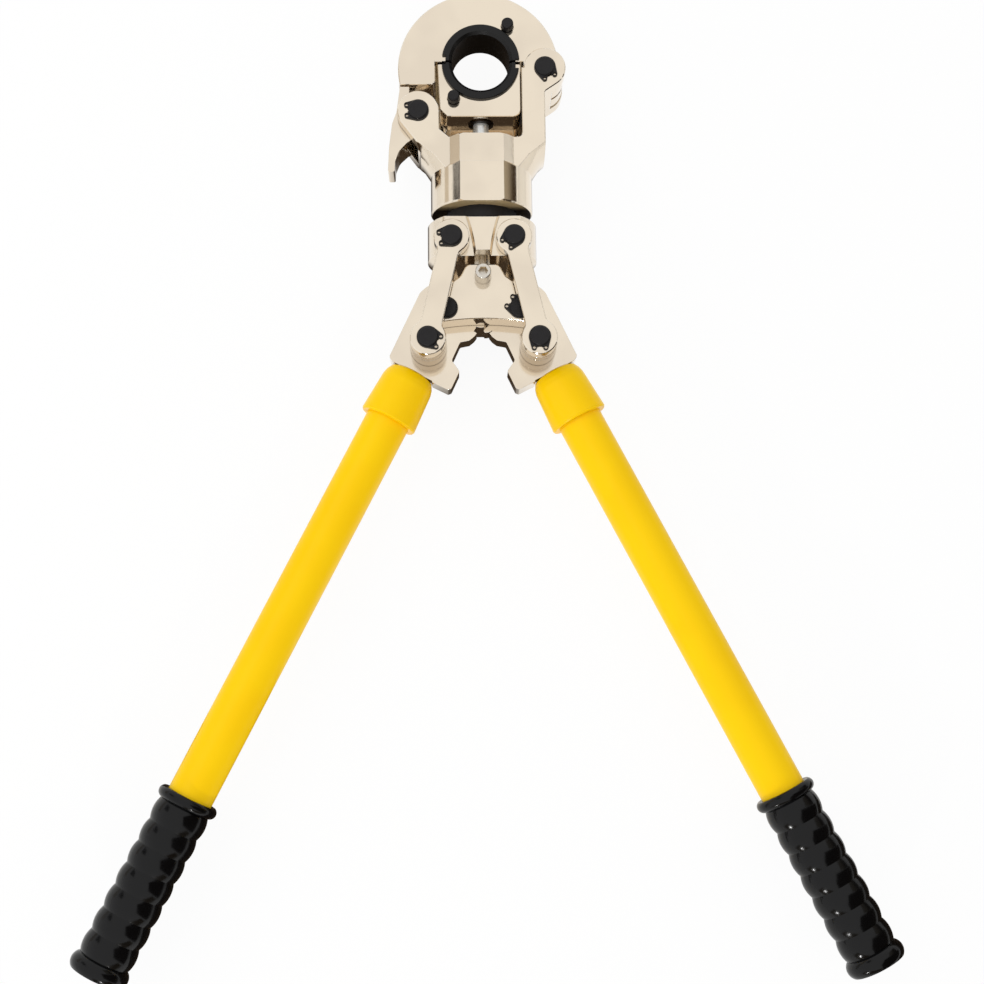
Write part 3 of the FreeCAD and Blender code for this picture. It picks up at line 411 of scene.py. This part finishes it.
def gap_shade_steel():
    """Machined steel with painted light and shade: dark brown shade near the middle plane, with a dull
    shine, turning to a painted golden light in front and behind.
    """
    colours, sizes, patterns = settings()
    material, tree, spot = new_material("gap_shade_steel")
    forward = add_node(tree, "ShaderNodeVectorMath", {0: spot, 1: (0, 0, 1)}, operation="MULTIPLY")
    depth = add_node(tree, "ShaderNodeVectorMath", {0: forward.outputs[0]}, operation="LENGTH")
    rim = patterns.lit_rim / MM
    fade = patterns.lit_rim_fade / MM
    # Painted light and shade by depth from the middle plane: dark near it, golden beyond the lit rim.
    golden = add_node(tree, "ShaderNodeMapRange",
                      {"Value": depth.outputs["Value"], **ramp(rim - fade, rim + fade, 0, 1)})
    tone = add_node(tree, "ShaderNodeMix", blend(golden.outputs[0], colours.painted_gap_shade, colours.painted_rim_light),
                    data_type="RGBA")
    film = add_node(tree, "ShaderNodeTexNoise",
                    {"Vector": spot, "Scale": per_mm(patterns.gap_patches), "Detail": 3.0})
    dull = add_node(tree, "ShaderNodeMapRange",
                    {"Value": film.outputs["Fac"], **ramp(*NOISE_SPAN, 0.3, 0.5)})
    metal = add_node(tree, "ShaderNodeMapRange", {"Value": golden.outputs[0], **ramp(0, 1, 1, 0.15)})
    shader = add_node(tree, "ShaderNodeBsdfPrincipled",
                      {"Base Color": tone.outputs[MIXED], "Metallic": metal.outputs[0],
                       "Roughness": dull.outputs[0]})
    finish_material(tree, shader)
    return material


def spring_wire():
    """Drawn spring steel: grey metal with a dull shine."""
    colours, sizes, patterns = settings()
    material, tree, spot = new_material("drawn_spring_steel")
    draw = add_node(tree, "ShaderNodeTexNoise",
                    {"Vector": spot, "Scale": per_mm(patterns.wire_draw), "Detail": 2.0})
    dull = add_node(tree, "ShaderNodeMapRange",
                    {"Value": draw.outputs["Fac"], **ramp(*NOISE_SPAN, 0.3, 0.45)})
    shader = add_node(tree, "ShaderNodeBsdfPrincipled",
                      {"Base Color": colours.spring, "Metallic": 1.0, "Roughness": dull.outputs[0]})
    finish_material(tree, shader)
    return material


def handle_enamel():
    """Sprayed gloss enamel: deep yellow, a little richer where it pooled, with a slow ripple."""
    colours, sizes, patterns = settings()
    material, tree, spot = new_material("yellow_gloss_enamel")
    rounded = add_node(tree, "ShaderNodeBevel", {"Radius": 2 * sizes.edge_round}, samples=4)
    pool = add_node(tree, "ShaderNodeTexNoise",
                    {"Vector": spot, "Scale": per_mm(patterns.enamel_pool), "Detail": 2.0})
    deep = add_node(tree, "ShaderNodeMapRange",
                    {"Value": pool.outputs["Fac"], **ramp(0.45, 0.7, 0, 0.5)})
    base = add_node(tree, "ShaderNodeMix", blend(deep.outputs[0], colours.enamel, colours.enamel_deep),
                    data_type="RGBA")
    wave = add_node(tree, "ShaderNodeTexNoise",
                    {"Vector": spot, "Scale": per_mm(patterns.enamel_ripple), "Detail": 1.0})
    ripple = add_node(tree, "ShaderNodeBump", {"Height": wave.outputs["Fac"], "Strength": 0.08,
                                               "Distance": 0.2 * MM, "Normal": rounded.outputs[0]})
    shader = add_node(tree, "ShaderNodeBsdfPrincipled",
                      {"Base Color": base.outputs[MIXED], "Roughness": 0.28, "IOR": 1.5,
                       "Specular IOR Level": 0.12, "Normal": ripple.outputs[0]})
    finish_material(tree, shader)
    return material


def grip_vinyl():
    """Dip-moulded black vinyl: deep black and glossy, with faint flow marks."""
    colours, sizes, patterns = settings()
    material, tree, spot = new_material("black_dipped_vinyl")
    flow = add_node(tree, "ShaderNodeTexNoise",
                    {"Vector": spot, "Scale": per_mm(patterns.vinyl_flow), "Detail": 3.0})
    dull = add_node(tree, "ShaderNodeMapRange",
                    {"Value": flow.outputs["Fac"], **ramp(*NOISE_SPAN, 0.13, 0.22)})
    fine = add_node(tree, "ShaderNodeTexNoise",
                    {"Vector": spot, "Scale": per_mm(patterns.vinyl_grain), "Detail": 2.0})
    relief = add_node(tree, "ShaderNodeBump",
                      {"Height": fine.outputs["Fac"], "Strength": 0.05, "Distance": 0.1 * MM})
    shader = add_node(tree, "ShaderNodeBsdfPrincipled",
                      {"Base Color": colours.grip, "Roughness": dull.outputs[0], "IOR": 1.5,
                       "Specular IOR Level": 0.25, "Normal": relief.outputs[0]})
    finish_material(tree, shader)
    return material


FINISHES = {
    "nickel": (nickel_plate, "satin_nickel_plate"),
    # Darker nickel of the spacers: painted shade.
    "spacer_shade": (shaded_spacer_plate, "shaded_nickel_plate"),
    "oxide": (black_oxide, "black_oxide_steel"),
    "die": (die_steel, "blackened_die_steel"),
    "bright": (bright_steel, "bright_plated_steel"),
    "screw": (screw_plate, "zinc_plated_screw"),
    # Painted gap shade with a painted golden rim light, for faces in gaps and hollows.
    "gap_shade": (gap_shade_steel, "gap_shade_steel"),
    "spring": (spring_wire, "drawn_spring_steel"),
    "enamel": (handle_enamel, "yellow_gloss_enamel"),
    "grip": (grip_vinyl, "black_dipped_vinyl"),
}


def finish_for(kind):
    """The material of this kind, made the first time that it is asked for."""
    make, name = FINISHES[kind]
    return bpy.data.materials.get(name) or make()


def studio_floor(glow_share):
    """Matt pale paper, plain white where the camera or glass sees it."""
    colours, sizes, patterns = settings()
    material, tree, spot = new_material("pale_paper")
    shader = add_node(tree, "ShaderNodeBsdfPrincipled",
                      {"Base Color": colours.floor, "Roughness": 0.9, "Specular IOR Level": 0.1})
    glow = add_node(tree, "ShaderNodeEmission", {"Color": WHITE, "Strength": 1.0})
    path = add_node(tree, "ShaderNodeLightPath")
    seen = add_node(tree, "ShaderNodeMath",
                    {0: path.outputs["Is Camera Ray"], 1: path.outputs["Is Transmission Ray"]},
                    operation="MAXIMUM")
    share = add_node(tree, "ShaderNodeMath", {0: seen.outputs[0], 1: glow_share}, operation="MULTIPLY")
    mixed = add_node(tree, "ShaderNodeMixShader",
                     {0: share.outputs[0], 1: shader.outputs[0], 2: glow.outputs[0]})
    finish_material(tree, mixed)
    return material


def flag_cloth(name, holes, cloth):
    """Cloth of the flags that a photographer stands round shiny metal, with light through its holes."""
    colours, sizes, patterns = settings()
    material, tree, spot = new_material(name)
    weave = add_node(tree, "ShaderNodeTexNoise",
                     {"Vector": spot, "Scale": per_mm(patterns.cloth_weave), "Detail": 4.0})
    light = add_node(tree, "ShaderNodeMapRange",
                     {"Value": weave.outputs["Fac"], **ramp(0.5, 0.58, 0, holes)})
    tone = add_node(tree, "ShaderNodeMix", blend(light.outputs[0], cloth, WHITE), data_type="RGBA")
    shader = add_node(tree, "ShaderNodeEmission", {"Color": tone.outputs[MIXED]})
    finish_material(tree, shader)
    return material


def fading_cloth(cloth):
    """Flag that is dark near the floor and pale at its top."""
    material, tree, spot = new_material("fading_flag_cloth")
    parts = add_node(tree, "ShaderNodeSeparateXYZ", {0: spot})
    fade = add_node(tree, "ShaderNodeMapRange",
                    {"Value": parts.outputs["Z"], **ramp(200, 600, 0, 0.75)},
                    interpolation_type="SMOOTHSTEP")
    shade = add_node(tree, "ShaderNodeMix",
                     blend(fade.outputs[0], cloth, linear("#B4A996")), data_type="RGBA")
    shader = add_node(tree, "ShaderNodeEmission", {"Color": shade.outputs[MIXED]})
    finish_material(tree, shader)
    return material


def shaded_paper(shade_colour):
    """Paper under the tool, brown in the tool's own shade and fading to white: only reflections show it."""
    half_width, half_length = 46.0, 150.0
    middle_x, middle_y = -5.98, -85.5
    material, tree, spot = new_material("shaded_paper")
    across = add_node(tree, "ShaderNodeMapping",
                      {"Vector": spot, "Location": (-middle_x / half_width, -middle_y / half_length, 0.0),
                       "Scale": (1 / half_width, 1 / half_length, 0.0)}, vector_type="POINT")
    reach = add_node(tree, "ShaderNodeVectorMath", {0: across.outputs[0]}, operation="LENGTH")
    fade = add_node(tree, "ShaderNodeMapRange",
                    {"Value": reach.outputs["Value"], **ramp(0.7, 1.15, 0, 1)},
                    interpolation_type="SMOOTHSTEP")
    shade = add_node(tree, "ShaderNodeMix",
                     blend(fade.outputs[0], shade_colour, WHITE), data_type="RGBA")
    shader = add_node(tree, "ShaderNodeEmission", {"Color": shade.outputs[MIXED]})
    finish_material(tree, shader)
    return material


def card_finish(name):
    """The cloth or paper of a card that stands in the studio."""
    brown = bpy.context.scene.crimper_colours.flag
    if name == "flag_low":
        return shaded_paper(brown)
    if name == "flag_right":
        return fading_cloth(brown)
    others = {
        "flag_left": ("pierced_flag_cloth", 0.7, linear("#2A2826")),
        "flag_front": ("tan_card", 0.0, linear("#7C6A4C")),
        "shade_right": ("stone_card", 0.0, linear("#A79E8D")),
        "card_left": ("grey_card", 0.0, linear("#D8CFC2")),
    }
    cloth_name, holes, cloth = others.get(name, ("brown_flag_cloth", 0.0, brown))
    return bpy.data.materials.get(cloth_name) or flag_cloth(cloth_name, holes, cloth)


def deselect_all():
    if bpy.context.mode != "OBJECT":
        bpy.ops.object.mode_set(mode="OBJECT")
    bpy.ops.object.select_all(action="DESELECT")


def select_only(piece):
    deselect_all()
    piece.select_set(True)
    bpy.context.view_layer.objects.active = piece


def settle(piece, node, kind):
    """Gives a piece its finish and its body, and hides the node that it stands for."""
    piece.data.materials.clear()
    piece.data.materials.append(finish_for(kind))
    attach(piece, frame["nodes"][node]["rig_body"])
    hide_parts(node)
    return piece


def smoothed_copy(node, kind):
    """Copy of a CAD node with its seams welded, shaded round where the surface is round."""
    select_only(frame["nodes"][node])
    bpy.ops.object.duplicate()
    piece = bpy.context.active_object
    piece.name = node + "_finished"
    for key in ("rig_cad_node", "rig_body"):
        if key in piece:
            del piece[key]
    piece.parent = None
    bpy.ops.object.mode_set(mode="EDIT")
    bpy.ops.mesh.select_all(action="SELECT")
    bpy.ops.mesh.remove_doubles(threshold=WELD_REACH)
    bpy.ops.mesh.customdata_custom_splitnormals_clear()
    bpy.ops.object.mode_set(mode="OBJECT")
    bpy.ops.object.shade_smooth_by_angle(angle=bpy.context.scene.crimper_sizes.smooth_angle)
    return settle(piece, node, kind)


class CRIMPER_OT_stage(bpy.types.Operator):
    """Sets the pale floor, the soft lights, the flags and the camera"""
    bl_idname = "crimper.stage"
    bl_label = "Studio and camera"

    def execute(self, context):
        stage = context.scene.crimper_stage
        context.scene.view_settings.view_transform = "Standard"
        self.make_world(context, stage)
        middle = Vector(((cad_low.x + cad_high.x) / 2, (cad_low.y + cad_high.y) / 2, 0))
        self.make_floor(context, stage, middle)
        self.make_lights(context, stage, middle)
        self.make_flags(context, stage, middle)
        self.make_camera(context, stage)
        return {"FINISHED"}

    def make_world(self, context, stage):
        """White where it is seen, in reflections too, and dimmer as light on matt surfaces."""
        world = bpy.data.worlds.new("pale_studio")
        context.scene.world = world
        world.use_nodes = True
        tree = world.node_tree
        tree.nodes.clear()
        path = add_node(tree, "ShaderNodeLightPath")
        mirrored = add_node(tree, "ShaderNodeMath",
                            {0: path.outputs["Is Camera Ray"], 1: path.outputs["Is Glossy Ray"]},
                            operation="MAXIMUM")
        seen = add_node(tree, "ShaderNodeMath",
                        {0: mirrored.outputs[0], 1: path.outputs["Is Transmission Ray"]},
                        operation="MAXIMUM")
        level = add_node(tree, "ShaderNodeMapRange",
                         {"Value": seen.outputs[0], **ramp(0, 1, stage.fill, 1)})
        sky = add_node(tree, "ShaderNodeBackground", {"Color": WHITE, "Strength": level.outputs[0]})
        add_node(tree, "ShaderNodeOutputWorld", {"Surface": sky.outputs[0]})

    def make_floor(self, context, stage, middle):
        deselect_all()
        bpy.ops.mesh.primitive_plane_add(size=stage.floor_side,
                                         location=(middle.x, middle.y, cad_low.z - stage.floor_gap))
        floor = context.active_object
        floor.name = "floor"
        floor.data.materials.append(studio_floor(stage.floor_glow))

    def make_lights(self, context, stage, middle):
        """Each row: name, place from the tool's middle, size, power, and whether metal mirrors it."""
        rows = (
            ("key_light", (-0.75, 0.35, 1.4), 1.2, stage.key_power, False),
            ("side_light", (-1.1, -0.1, 0.55), 0.3, stage.side_power, False),
            ("spark_light", (-0.25, -1.36, 0.43), 0.07, stage.spark_power, True),
        )
        for name, offset, size, power, mirrored in rows:
            place = middle + Vector(offset)
            aim = (middle - place).to_track_quat("-Z", "Y")
            bpy.ops.object.light_add(type="AREA", location=place, rotation=aim.to_euler())
            lamp = context.active_object
            lamp.name = name
            lamp.data.size = size
            lamp.data.energy = power
            lamp.visible_glossy = mirrored

    def make_flags(self, context, stage, middle):
        """Cards seen only in reflections. Each row: name, place from the middle, turn and size."""
        low = cad_low.z - stage.card_gap
        flat = (0, 0, 0)
        sideways = (0, QUARTER_TURN, 0)
        upright = (QUARTER_TURN, 0, 0)
        rows = (
            ("flag_left", (-0.9, 0.55, 0.63), sideways, (0.54, 0.5)),
            ("flag_right", (0.9, 0.5, 0.36), sideways, (0.54, 0.8)),
            ("flag_grips", (0.75, -0.6, 0.92), sideways, (1.9, 1.25)),
            ("floor_left_grip", (-0.105, -0.225, low), flat, (0.17, 0.2)),
            ("floor_right_grip", (0.31, -0.225, low), flat, (0.17, 0.2)),
            ("flag_front", (0.0, -1.6, 0.47), upright, (1.8, 0.75)),
            ("shade_right", (0.9, 0.6, 0.79), sideways, (0.32, 0.9)),
            ("card_left", (-0.95, 0.5, 0.07), sideways, (0.2, 0.8)),
            ("flag_low", (0.0, 0.12, low), flat, (0.2, 0.42)),
        )
        for name, offset, turn, size in rows:
            bpy.ops.mesh.primitive_plane_add(size=1.0, location=middle + Vector(offset), rotation=turn)
            flag = context.active_object
            flag.name = name
            flag.scale = (*size, 1.0)
            bpy.ops.object.transform_apply(location=True, rotation=True, scale=True)
            flag.data.materials.append(card_finish(name))
            flag.visible_camera = False
            flag.visible_diffuse = False
            flag.visible_shadow = False

    def make_camera(self, context, stage):
        bpy.ops.object.camera_add(location=stage.camera_place, rotation=stage.camera_turn)
        camera = context.active_object
        camera.name = "camera"
        camera.data.sensor_width = 36.0
        camera.data.lens = stage.lens
        context.scene.camera = camera


class CRIMPER_OT_forgings(bpy.types.Operator):
    """Plates the forged and milled pieces: head, fork, holder, blocks and latch"""
    bl_idname = "crimper.forgings"
    bl_label = "Forgings"

    def execute(self, context):
        sizes = context.scene.crimper_sizes
        for node in ("c_head", "push_block", "latch_lever"):
            smoothed_copy(node, "nickel")
        fork = smoothed_copy("fork_body", "nickel")
        self.mill_flats(fork, sizes)
        self.drop_foot(smoothed_copy("die_holder", "nickel"), sizes)
        block = smoothed_copy("link_block", "nickel")
        self.lower_web(block, sizes)
        self.line_gaps(context, sizes)
        self.paint_end_shade(fork, -1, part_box("fork_body")[0].y, sizes)
        self.paint_end_shade(block, 1, -sizes.block_top, sizes)
        self.paint_spindle_shade(block, sizes)
        return {"FINISHED"}

    def mill_flats(self, fork, sizes):
        """Mills the barrel's front and back level with the octagon above it."""
        select_only(fork)
        bpy.ops.object.mode_set(mode="EDIT")
        for side in (1, -1):
            bpy.ops.mesh.select_all(action="SELECT")
            bpy.ops.mesh.bisect(plane_co=(0, 0, side * sizes.barrel_flat), plane_no=(0, 0, side),
                                use_fill=True, clear_outer=True, threshold=CUT_REACH)
        bpy.ops.object.mode_set(mode="OBJECT")
        bpy.ops.object.shade_smooth_by_angle(angle=sizes.smooth_angle)

    def drop_foot(self, holder, sizes):
        """Lengthens the holder's lower edge behind its rod socket."""
        lower_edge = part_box("die_holder")[0].y
        select_only(holder)
        bpy.ops.object.mode_set(mode="EDIT")
        bpy.ops.mesh.select_all(action="SELECT")
        bpy.ops.mesh.bisect(plane_co=(0, 0, -sizes.foot_front), plane_no=(0, 0, 1), threshold=CUT_REACH)
        bpy.ops.object.mode_set(mode="OBJECT")
        for vertex in holder.data.vertices:
            behind = vertex.co.z < -sizes.foot_front - PLANE_REACH
            if behind and vertex.co.y < lower_edge + sizes.foot_rise:
                vertex.co.y -= sizes.foot_drop
                if vertex.co.x < 0:
                    vertex.co.x -= sizes.foot_widen
        select_only(holder)
        bpy.ops.object.shade_smooth_by_angle(angle=sizes.smooth_angle)

    def lower_web(self, block, sizes):
        """Ends the raised web a little below the block's top."""
        web_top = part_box("link_block")[1].z
        for vertex in block.data.vertices:
            at_top = abs(vertex.co.y + sizes.block_top) < PLANE_REACH
            if at_top and vertex.co.z > web_top - sizes.web_rise:
                vertex.co.y -= sizes.web_drop

    def line_gaps(self, context, sizes):
        """Closes the gaps between the holder and the arms with a strip behind each, put there as painted
        shade in the gaps.
        """
        rows = (
            ("slot_strip", -sizes.slot_strip_x, sizes.slot_strip_y, sizes.slot_strip_long),
            ("foot_strip", sizes.foot_strip_x, sizes.foot_strip_y, sizes.foot_strip_long),
        )
        for name, across, down, length in rows:
            deselect_all()
            bpy.ops.mesh.primitive_cube_add(size=1.0,
                                            location=(across, -down, sizes.strip_inset - sizes.arm_half))
            strip = context.active_object
            strip.name = name
            strip.scale = (sizes.strip_wide, length, sizes.strip_thick)
            bpy.ops.object.transform_apply(location=True, rotation=True, scale=True)
            bpy.ops.object.mode_set(mode="EDIT")
            bpy.ops.mesh.select_all(action="SELECT")
            bpy.ops.mesh.bevel(offset=sizes.strip_round, segments=2, affect="EDGES")
            bpy.ops.object.mode_set(mode="OBJECT")
            strip.data.materials.append(finish_for("nickel"))
            strip.data.materials.append(finish_for("gap_shade"))
            # Front faces take the gap-shade material and the rest are nickel.
            for face in strip.data.polygons:
                face.material_index = 1 if face.normal.z > HALF_WAY else 0
            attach(strip, "fork")

    def paint_end_shade(self, piece, side, end, sizes):
        """Gives the face that turns on its neighbour the gap-shade material: painted shade in the gap
        between barrel and block.
        """
        piece.data.materials.append(finish_for("gap_shade"))
        for face in piece.data.polygons:
            if face.normal.y * side > ALONG and abs(face.center.y - end) < sizes.end_round:
                face.material_index = 1

    def paint_spindle_shade(self, block, sizes):
        """Blackens the spindle that the fork body turns on with black oxide, as painted shade in the gap
        between barrel and block.
        """
        block.data.materials.append(finish_for("oxide"))
        for face in block.data.polygons:
            if face.center.y > -sizes.block_top + sizes.spindle_foot:
                face.material_index = 2


class CRIMPER_OT_linkage(bpy.types.Operator):
    """Plates the links, their spacers and the toothed handle plates"""
    bl_idname = "crimper.linkage"
    bl_label = "Links and handle plates"

    def execute(self, context):
        for side in ("left", "right"):
            for node in (f"link_{side}_front", f"link_{side}_back", f"handle_plate_{side}"):
                smoothed_copy(node, "nickel")
            # The spacers take the darker nickel: painted shade.
            smoothed_copy(f"link_spacers_{side}", "spacer_shade")
        return {"FINISHED"}


class CRIMPER_OT_pins(bpy.types.Operator):
    """Blackens the pins and their retaining rings"""
    bl_idname = "crimper.pins"
    bl_label = "Pins and retaining rings"

    def execute(self, context):
        nodes = ["head_pivot_pin", "latch_pin", "ear_circlips", "anchor_circlips", "crank_circlips"]
        for side in ("left", "right"):
            nodes += [f"anchor_pin_{side}", f"crank_pin_{side}", f"link_pin_{side}"]
            nodes += [f"link_circlips_{side}"]
        for node in nodes:
            piece = smoothed_copy(node, "oxide")
            if "circlips" in node:
                self.drill_eyes(piece, context.scene.crimper_sizes)
        return {"FINISHED"}

    def drill_eyes(self, piece, sizes):
        """Widens the two eyes of each retaining ring about their own middles."""
        mesh = bmesh.new()
        mesh.from_mesh(piece.data)
        walls = {face for face in mesh.faces if abs(face.normal.z) < ACROSS}
        while walls:
            island = {walls.pop()}
            edge = list(island)
            while edge:
                near = {f for v in edge.pop().verts for f in v.link_faces if f in walls}
                walls -= near
                island |= near
                edge += near
            spots = {v for face in island for v in face.verts}
            middle = sum((v.co for v in spots), Vector()) / len(spots)
            if max((v.co.xy - middle.xy).length for v in spots) > sizes.eye_reach:
                continue
            for v in spots:
                v.co.xy = middle.xy + (v.co.xy - middle.xy) * sizes.eye_grow
        mesh.to_mesh(piece.data)
        mesh.free()


class CRIMPER_OT_dies(bpy.types.Operator):
    """Finishes the half-ring dies and the buttons that hold them"""
    bl_idname = "crimper.dies"
    bl_label = "Dies and buttons"

    def execute(self, context):
        for half in ("upper", "lower"):
            smoothed_copy(f"{half}_die", "die")
            smoothed_copy(f"{half}_die_button", "oxide")
        return {"FINISHED"}


class CRIMPER_OT_rod(bpy.types.Operator):
    """Finishes the push rod, its collar and the lock screw"""
    bl_idname = "crimper.rod"
    bl_label = "Push rod and screw"

    def execute(self, context):
        smoothed_copy("push_rod", "bright")
        self.paint_socket_shade(smoothed_copy("lock_screw", "screw"), context.scene.crimper_sizes.socket_reach)
        # The collar takes the gap-shade material: painted shade where the rod enters the holder.
        smoothed_copy("rod_collar", "gap_shade")
        return {"FINISHED"}

    def paint_socket_shade(self, screw, reach):
        """Paints shade on the walls of the hexagon socket with the gap-shade material."""
        screw.data.materials.append(finish_for("gap_shade"))
        low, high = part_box("lock_screw")
        axis = (low + high) / 2
        for face in screw.data.polygons:
            if abs(face.normal.z) < HALF_WAY and (face.center.xy - axis.xy).length < reach:
                face.material_index = 1


class CRIMPER_OT_springs(bpy.types.Operator):
    """Finishes the swivel's snap ring and the button springs, each button spring with a mesh of its own"""
    bl_idname = "crimper.springs"
    bl_label = "Springs"

    def execute(self, context):
        smoothed_copy("swivel_ring", "spring")
        for half in ("upper", "lower"):
            node = f"{half}_button_spring"
            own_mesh(smoothed_copy(node, "spring"))
        return {"FINISHED"}


class CRIMPER_OT_handles(bpy.types.Operator):
    """Paints the ferrules and tubes"""
    bl_idname = "crimper.handles"
    bl_label = "Ferrules and tubes"

    def execute(self, context):
        for side in ("left", "right"):
            smoothed_copy(f"ferrule_{side}", "enamel")
            smoothed_copy(f"tube_{side}", "enamel")
        return {"FINISHED"}


class CRIMPER_OT_grips(bpy.types.Operator):
    """Moulds the ribbed grips, each with a slimmer bead at its end"""
    bl_idname = "crimper.grips"
    bl_label = "Grips"

    def execute(self, context):
        for side, sign in (("left", -1), ("right", 1)):
            self.slim_bead(smoothed_copy(f"grip_{side}", "grip"), sign, context.scene.crimper_sizes)
        return {"FINISHED"}

    def slim_bead(self, grip, sign, sizes):
        """Draws the end bead in towards the axis and towards the bulges."""
        seat = Vector((sign * sizes.tube_seat_x, -sizes.tube_seat_y, 0))
        axis = Vector((sign * math.sin(sizes.tube_angle), -math.cos(sizes.tube_angle), 0))
        for vertex in grip.data.vertices:
            along = (vertex.co - seat).dot(axis)
            if along <= sizes.bead_start:
                continue
            foot = seat + axis * along
            out = vertex.co - foot
            reach = out.length
            slim = min(reach, sizes.grip_neck + max(0, reach - sizes.grip_neck) * sizes.bead_slim)
            shorter = sizes.bead_start + (along - sizes.bead_start) * sizes.bead_short
            vertex.co = seat + axis * shorter + (out * (slim / reach) if reach > 0 else out)


class CRIMPER_PT_panel(bpy.types.Panel):
    """Lists the colours, the sizes, the patterns, the stage and the steps"""
    bl_idname = "CRIMPER_PT_panel"
    bl_label = "Crimping tool"
    bl_space_type = "VIEW_3D"
    bl_region_type = "UI"
    bl_category = "Crimping tool"

    def draw(self, context):
        for key in GROUPS:
            group = getattr(context.scene, key)
            box = self.layout.box()
            for name in group.__annotations__:
                box.prop(group, name)
        for operator in OPERATORS:
            self.layout.operator(operator.bl_idname)


GROUPS = {
    "crimper_colours": CrimperColours,
    "crimper_sizes": CrimperSizes,
    "crimper_patterns": CrimperPatterns,
    "crimper_stage": CrimperStage,
}
OPERATORS = (
    CRIMPER_OT_stage, CRIMPER_OT_forgings, CRIMPER_OT_linkage, CRIMPER_OT_pins, CRIMPER_OT_dies,
    CRIMPER_OT_rod, CRIMPER_OT_springs, CRIMPER_OT_handles, CRIMPER_OT_grips,
)
CLASSES = (*GROUPS.values(), *OPERATORS, CRIMPER_PT_panel)


def register():
    for item in CLASSES:
        bpy.utils.register_class(item)
    for key, group in GROUPS.items():
        setattr(bpy.types.Scene, key, PointerProperty(type=group))


def unregister():
    for key in reversed(GROUPS):
        delattr(bpy.types.Scene, key)
    for item in reversed(CLASSES):
        bpy.utils.unregister_class(item)


def main():
    register()
    bpy.ops.crimper.stage()
    bpy.ops.crimper.forgings()
    bpy.ops.crimper.linkage()
    bpy.ops.crimper.pins()
    bpy.ops.crimper.dies()
    bpy.ops.crimper.rod()
    bpy.ops.crimper.springs()
    bpy.ops.crimper.handles()
    bpy.ops.crimper.grips()


if __name__ == "__main__":
    main()
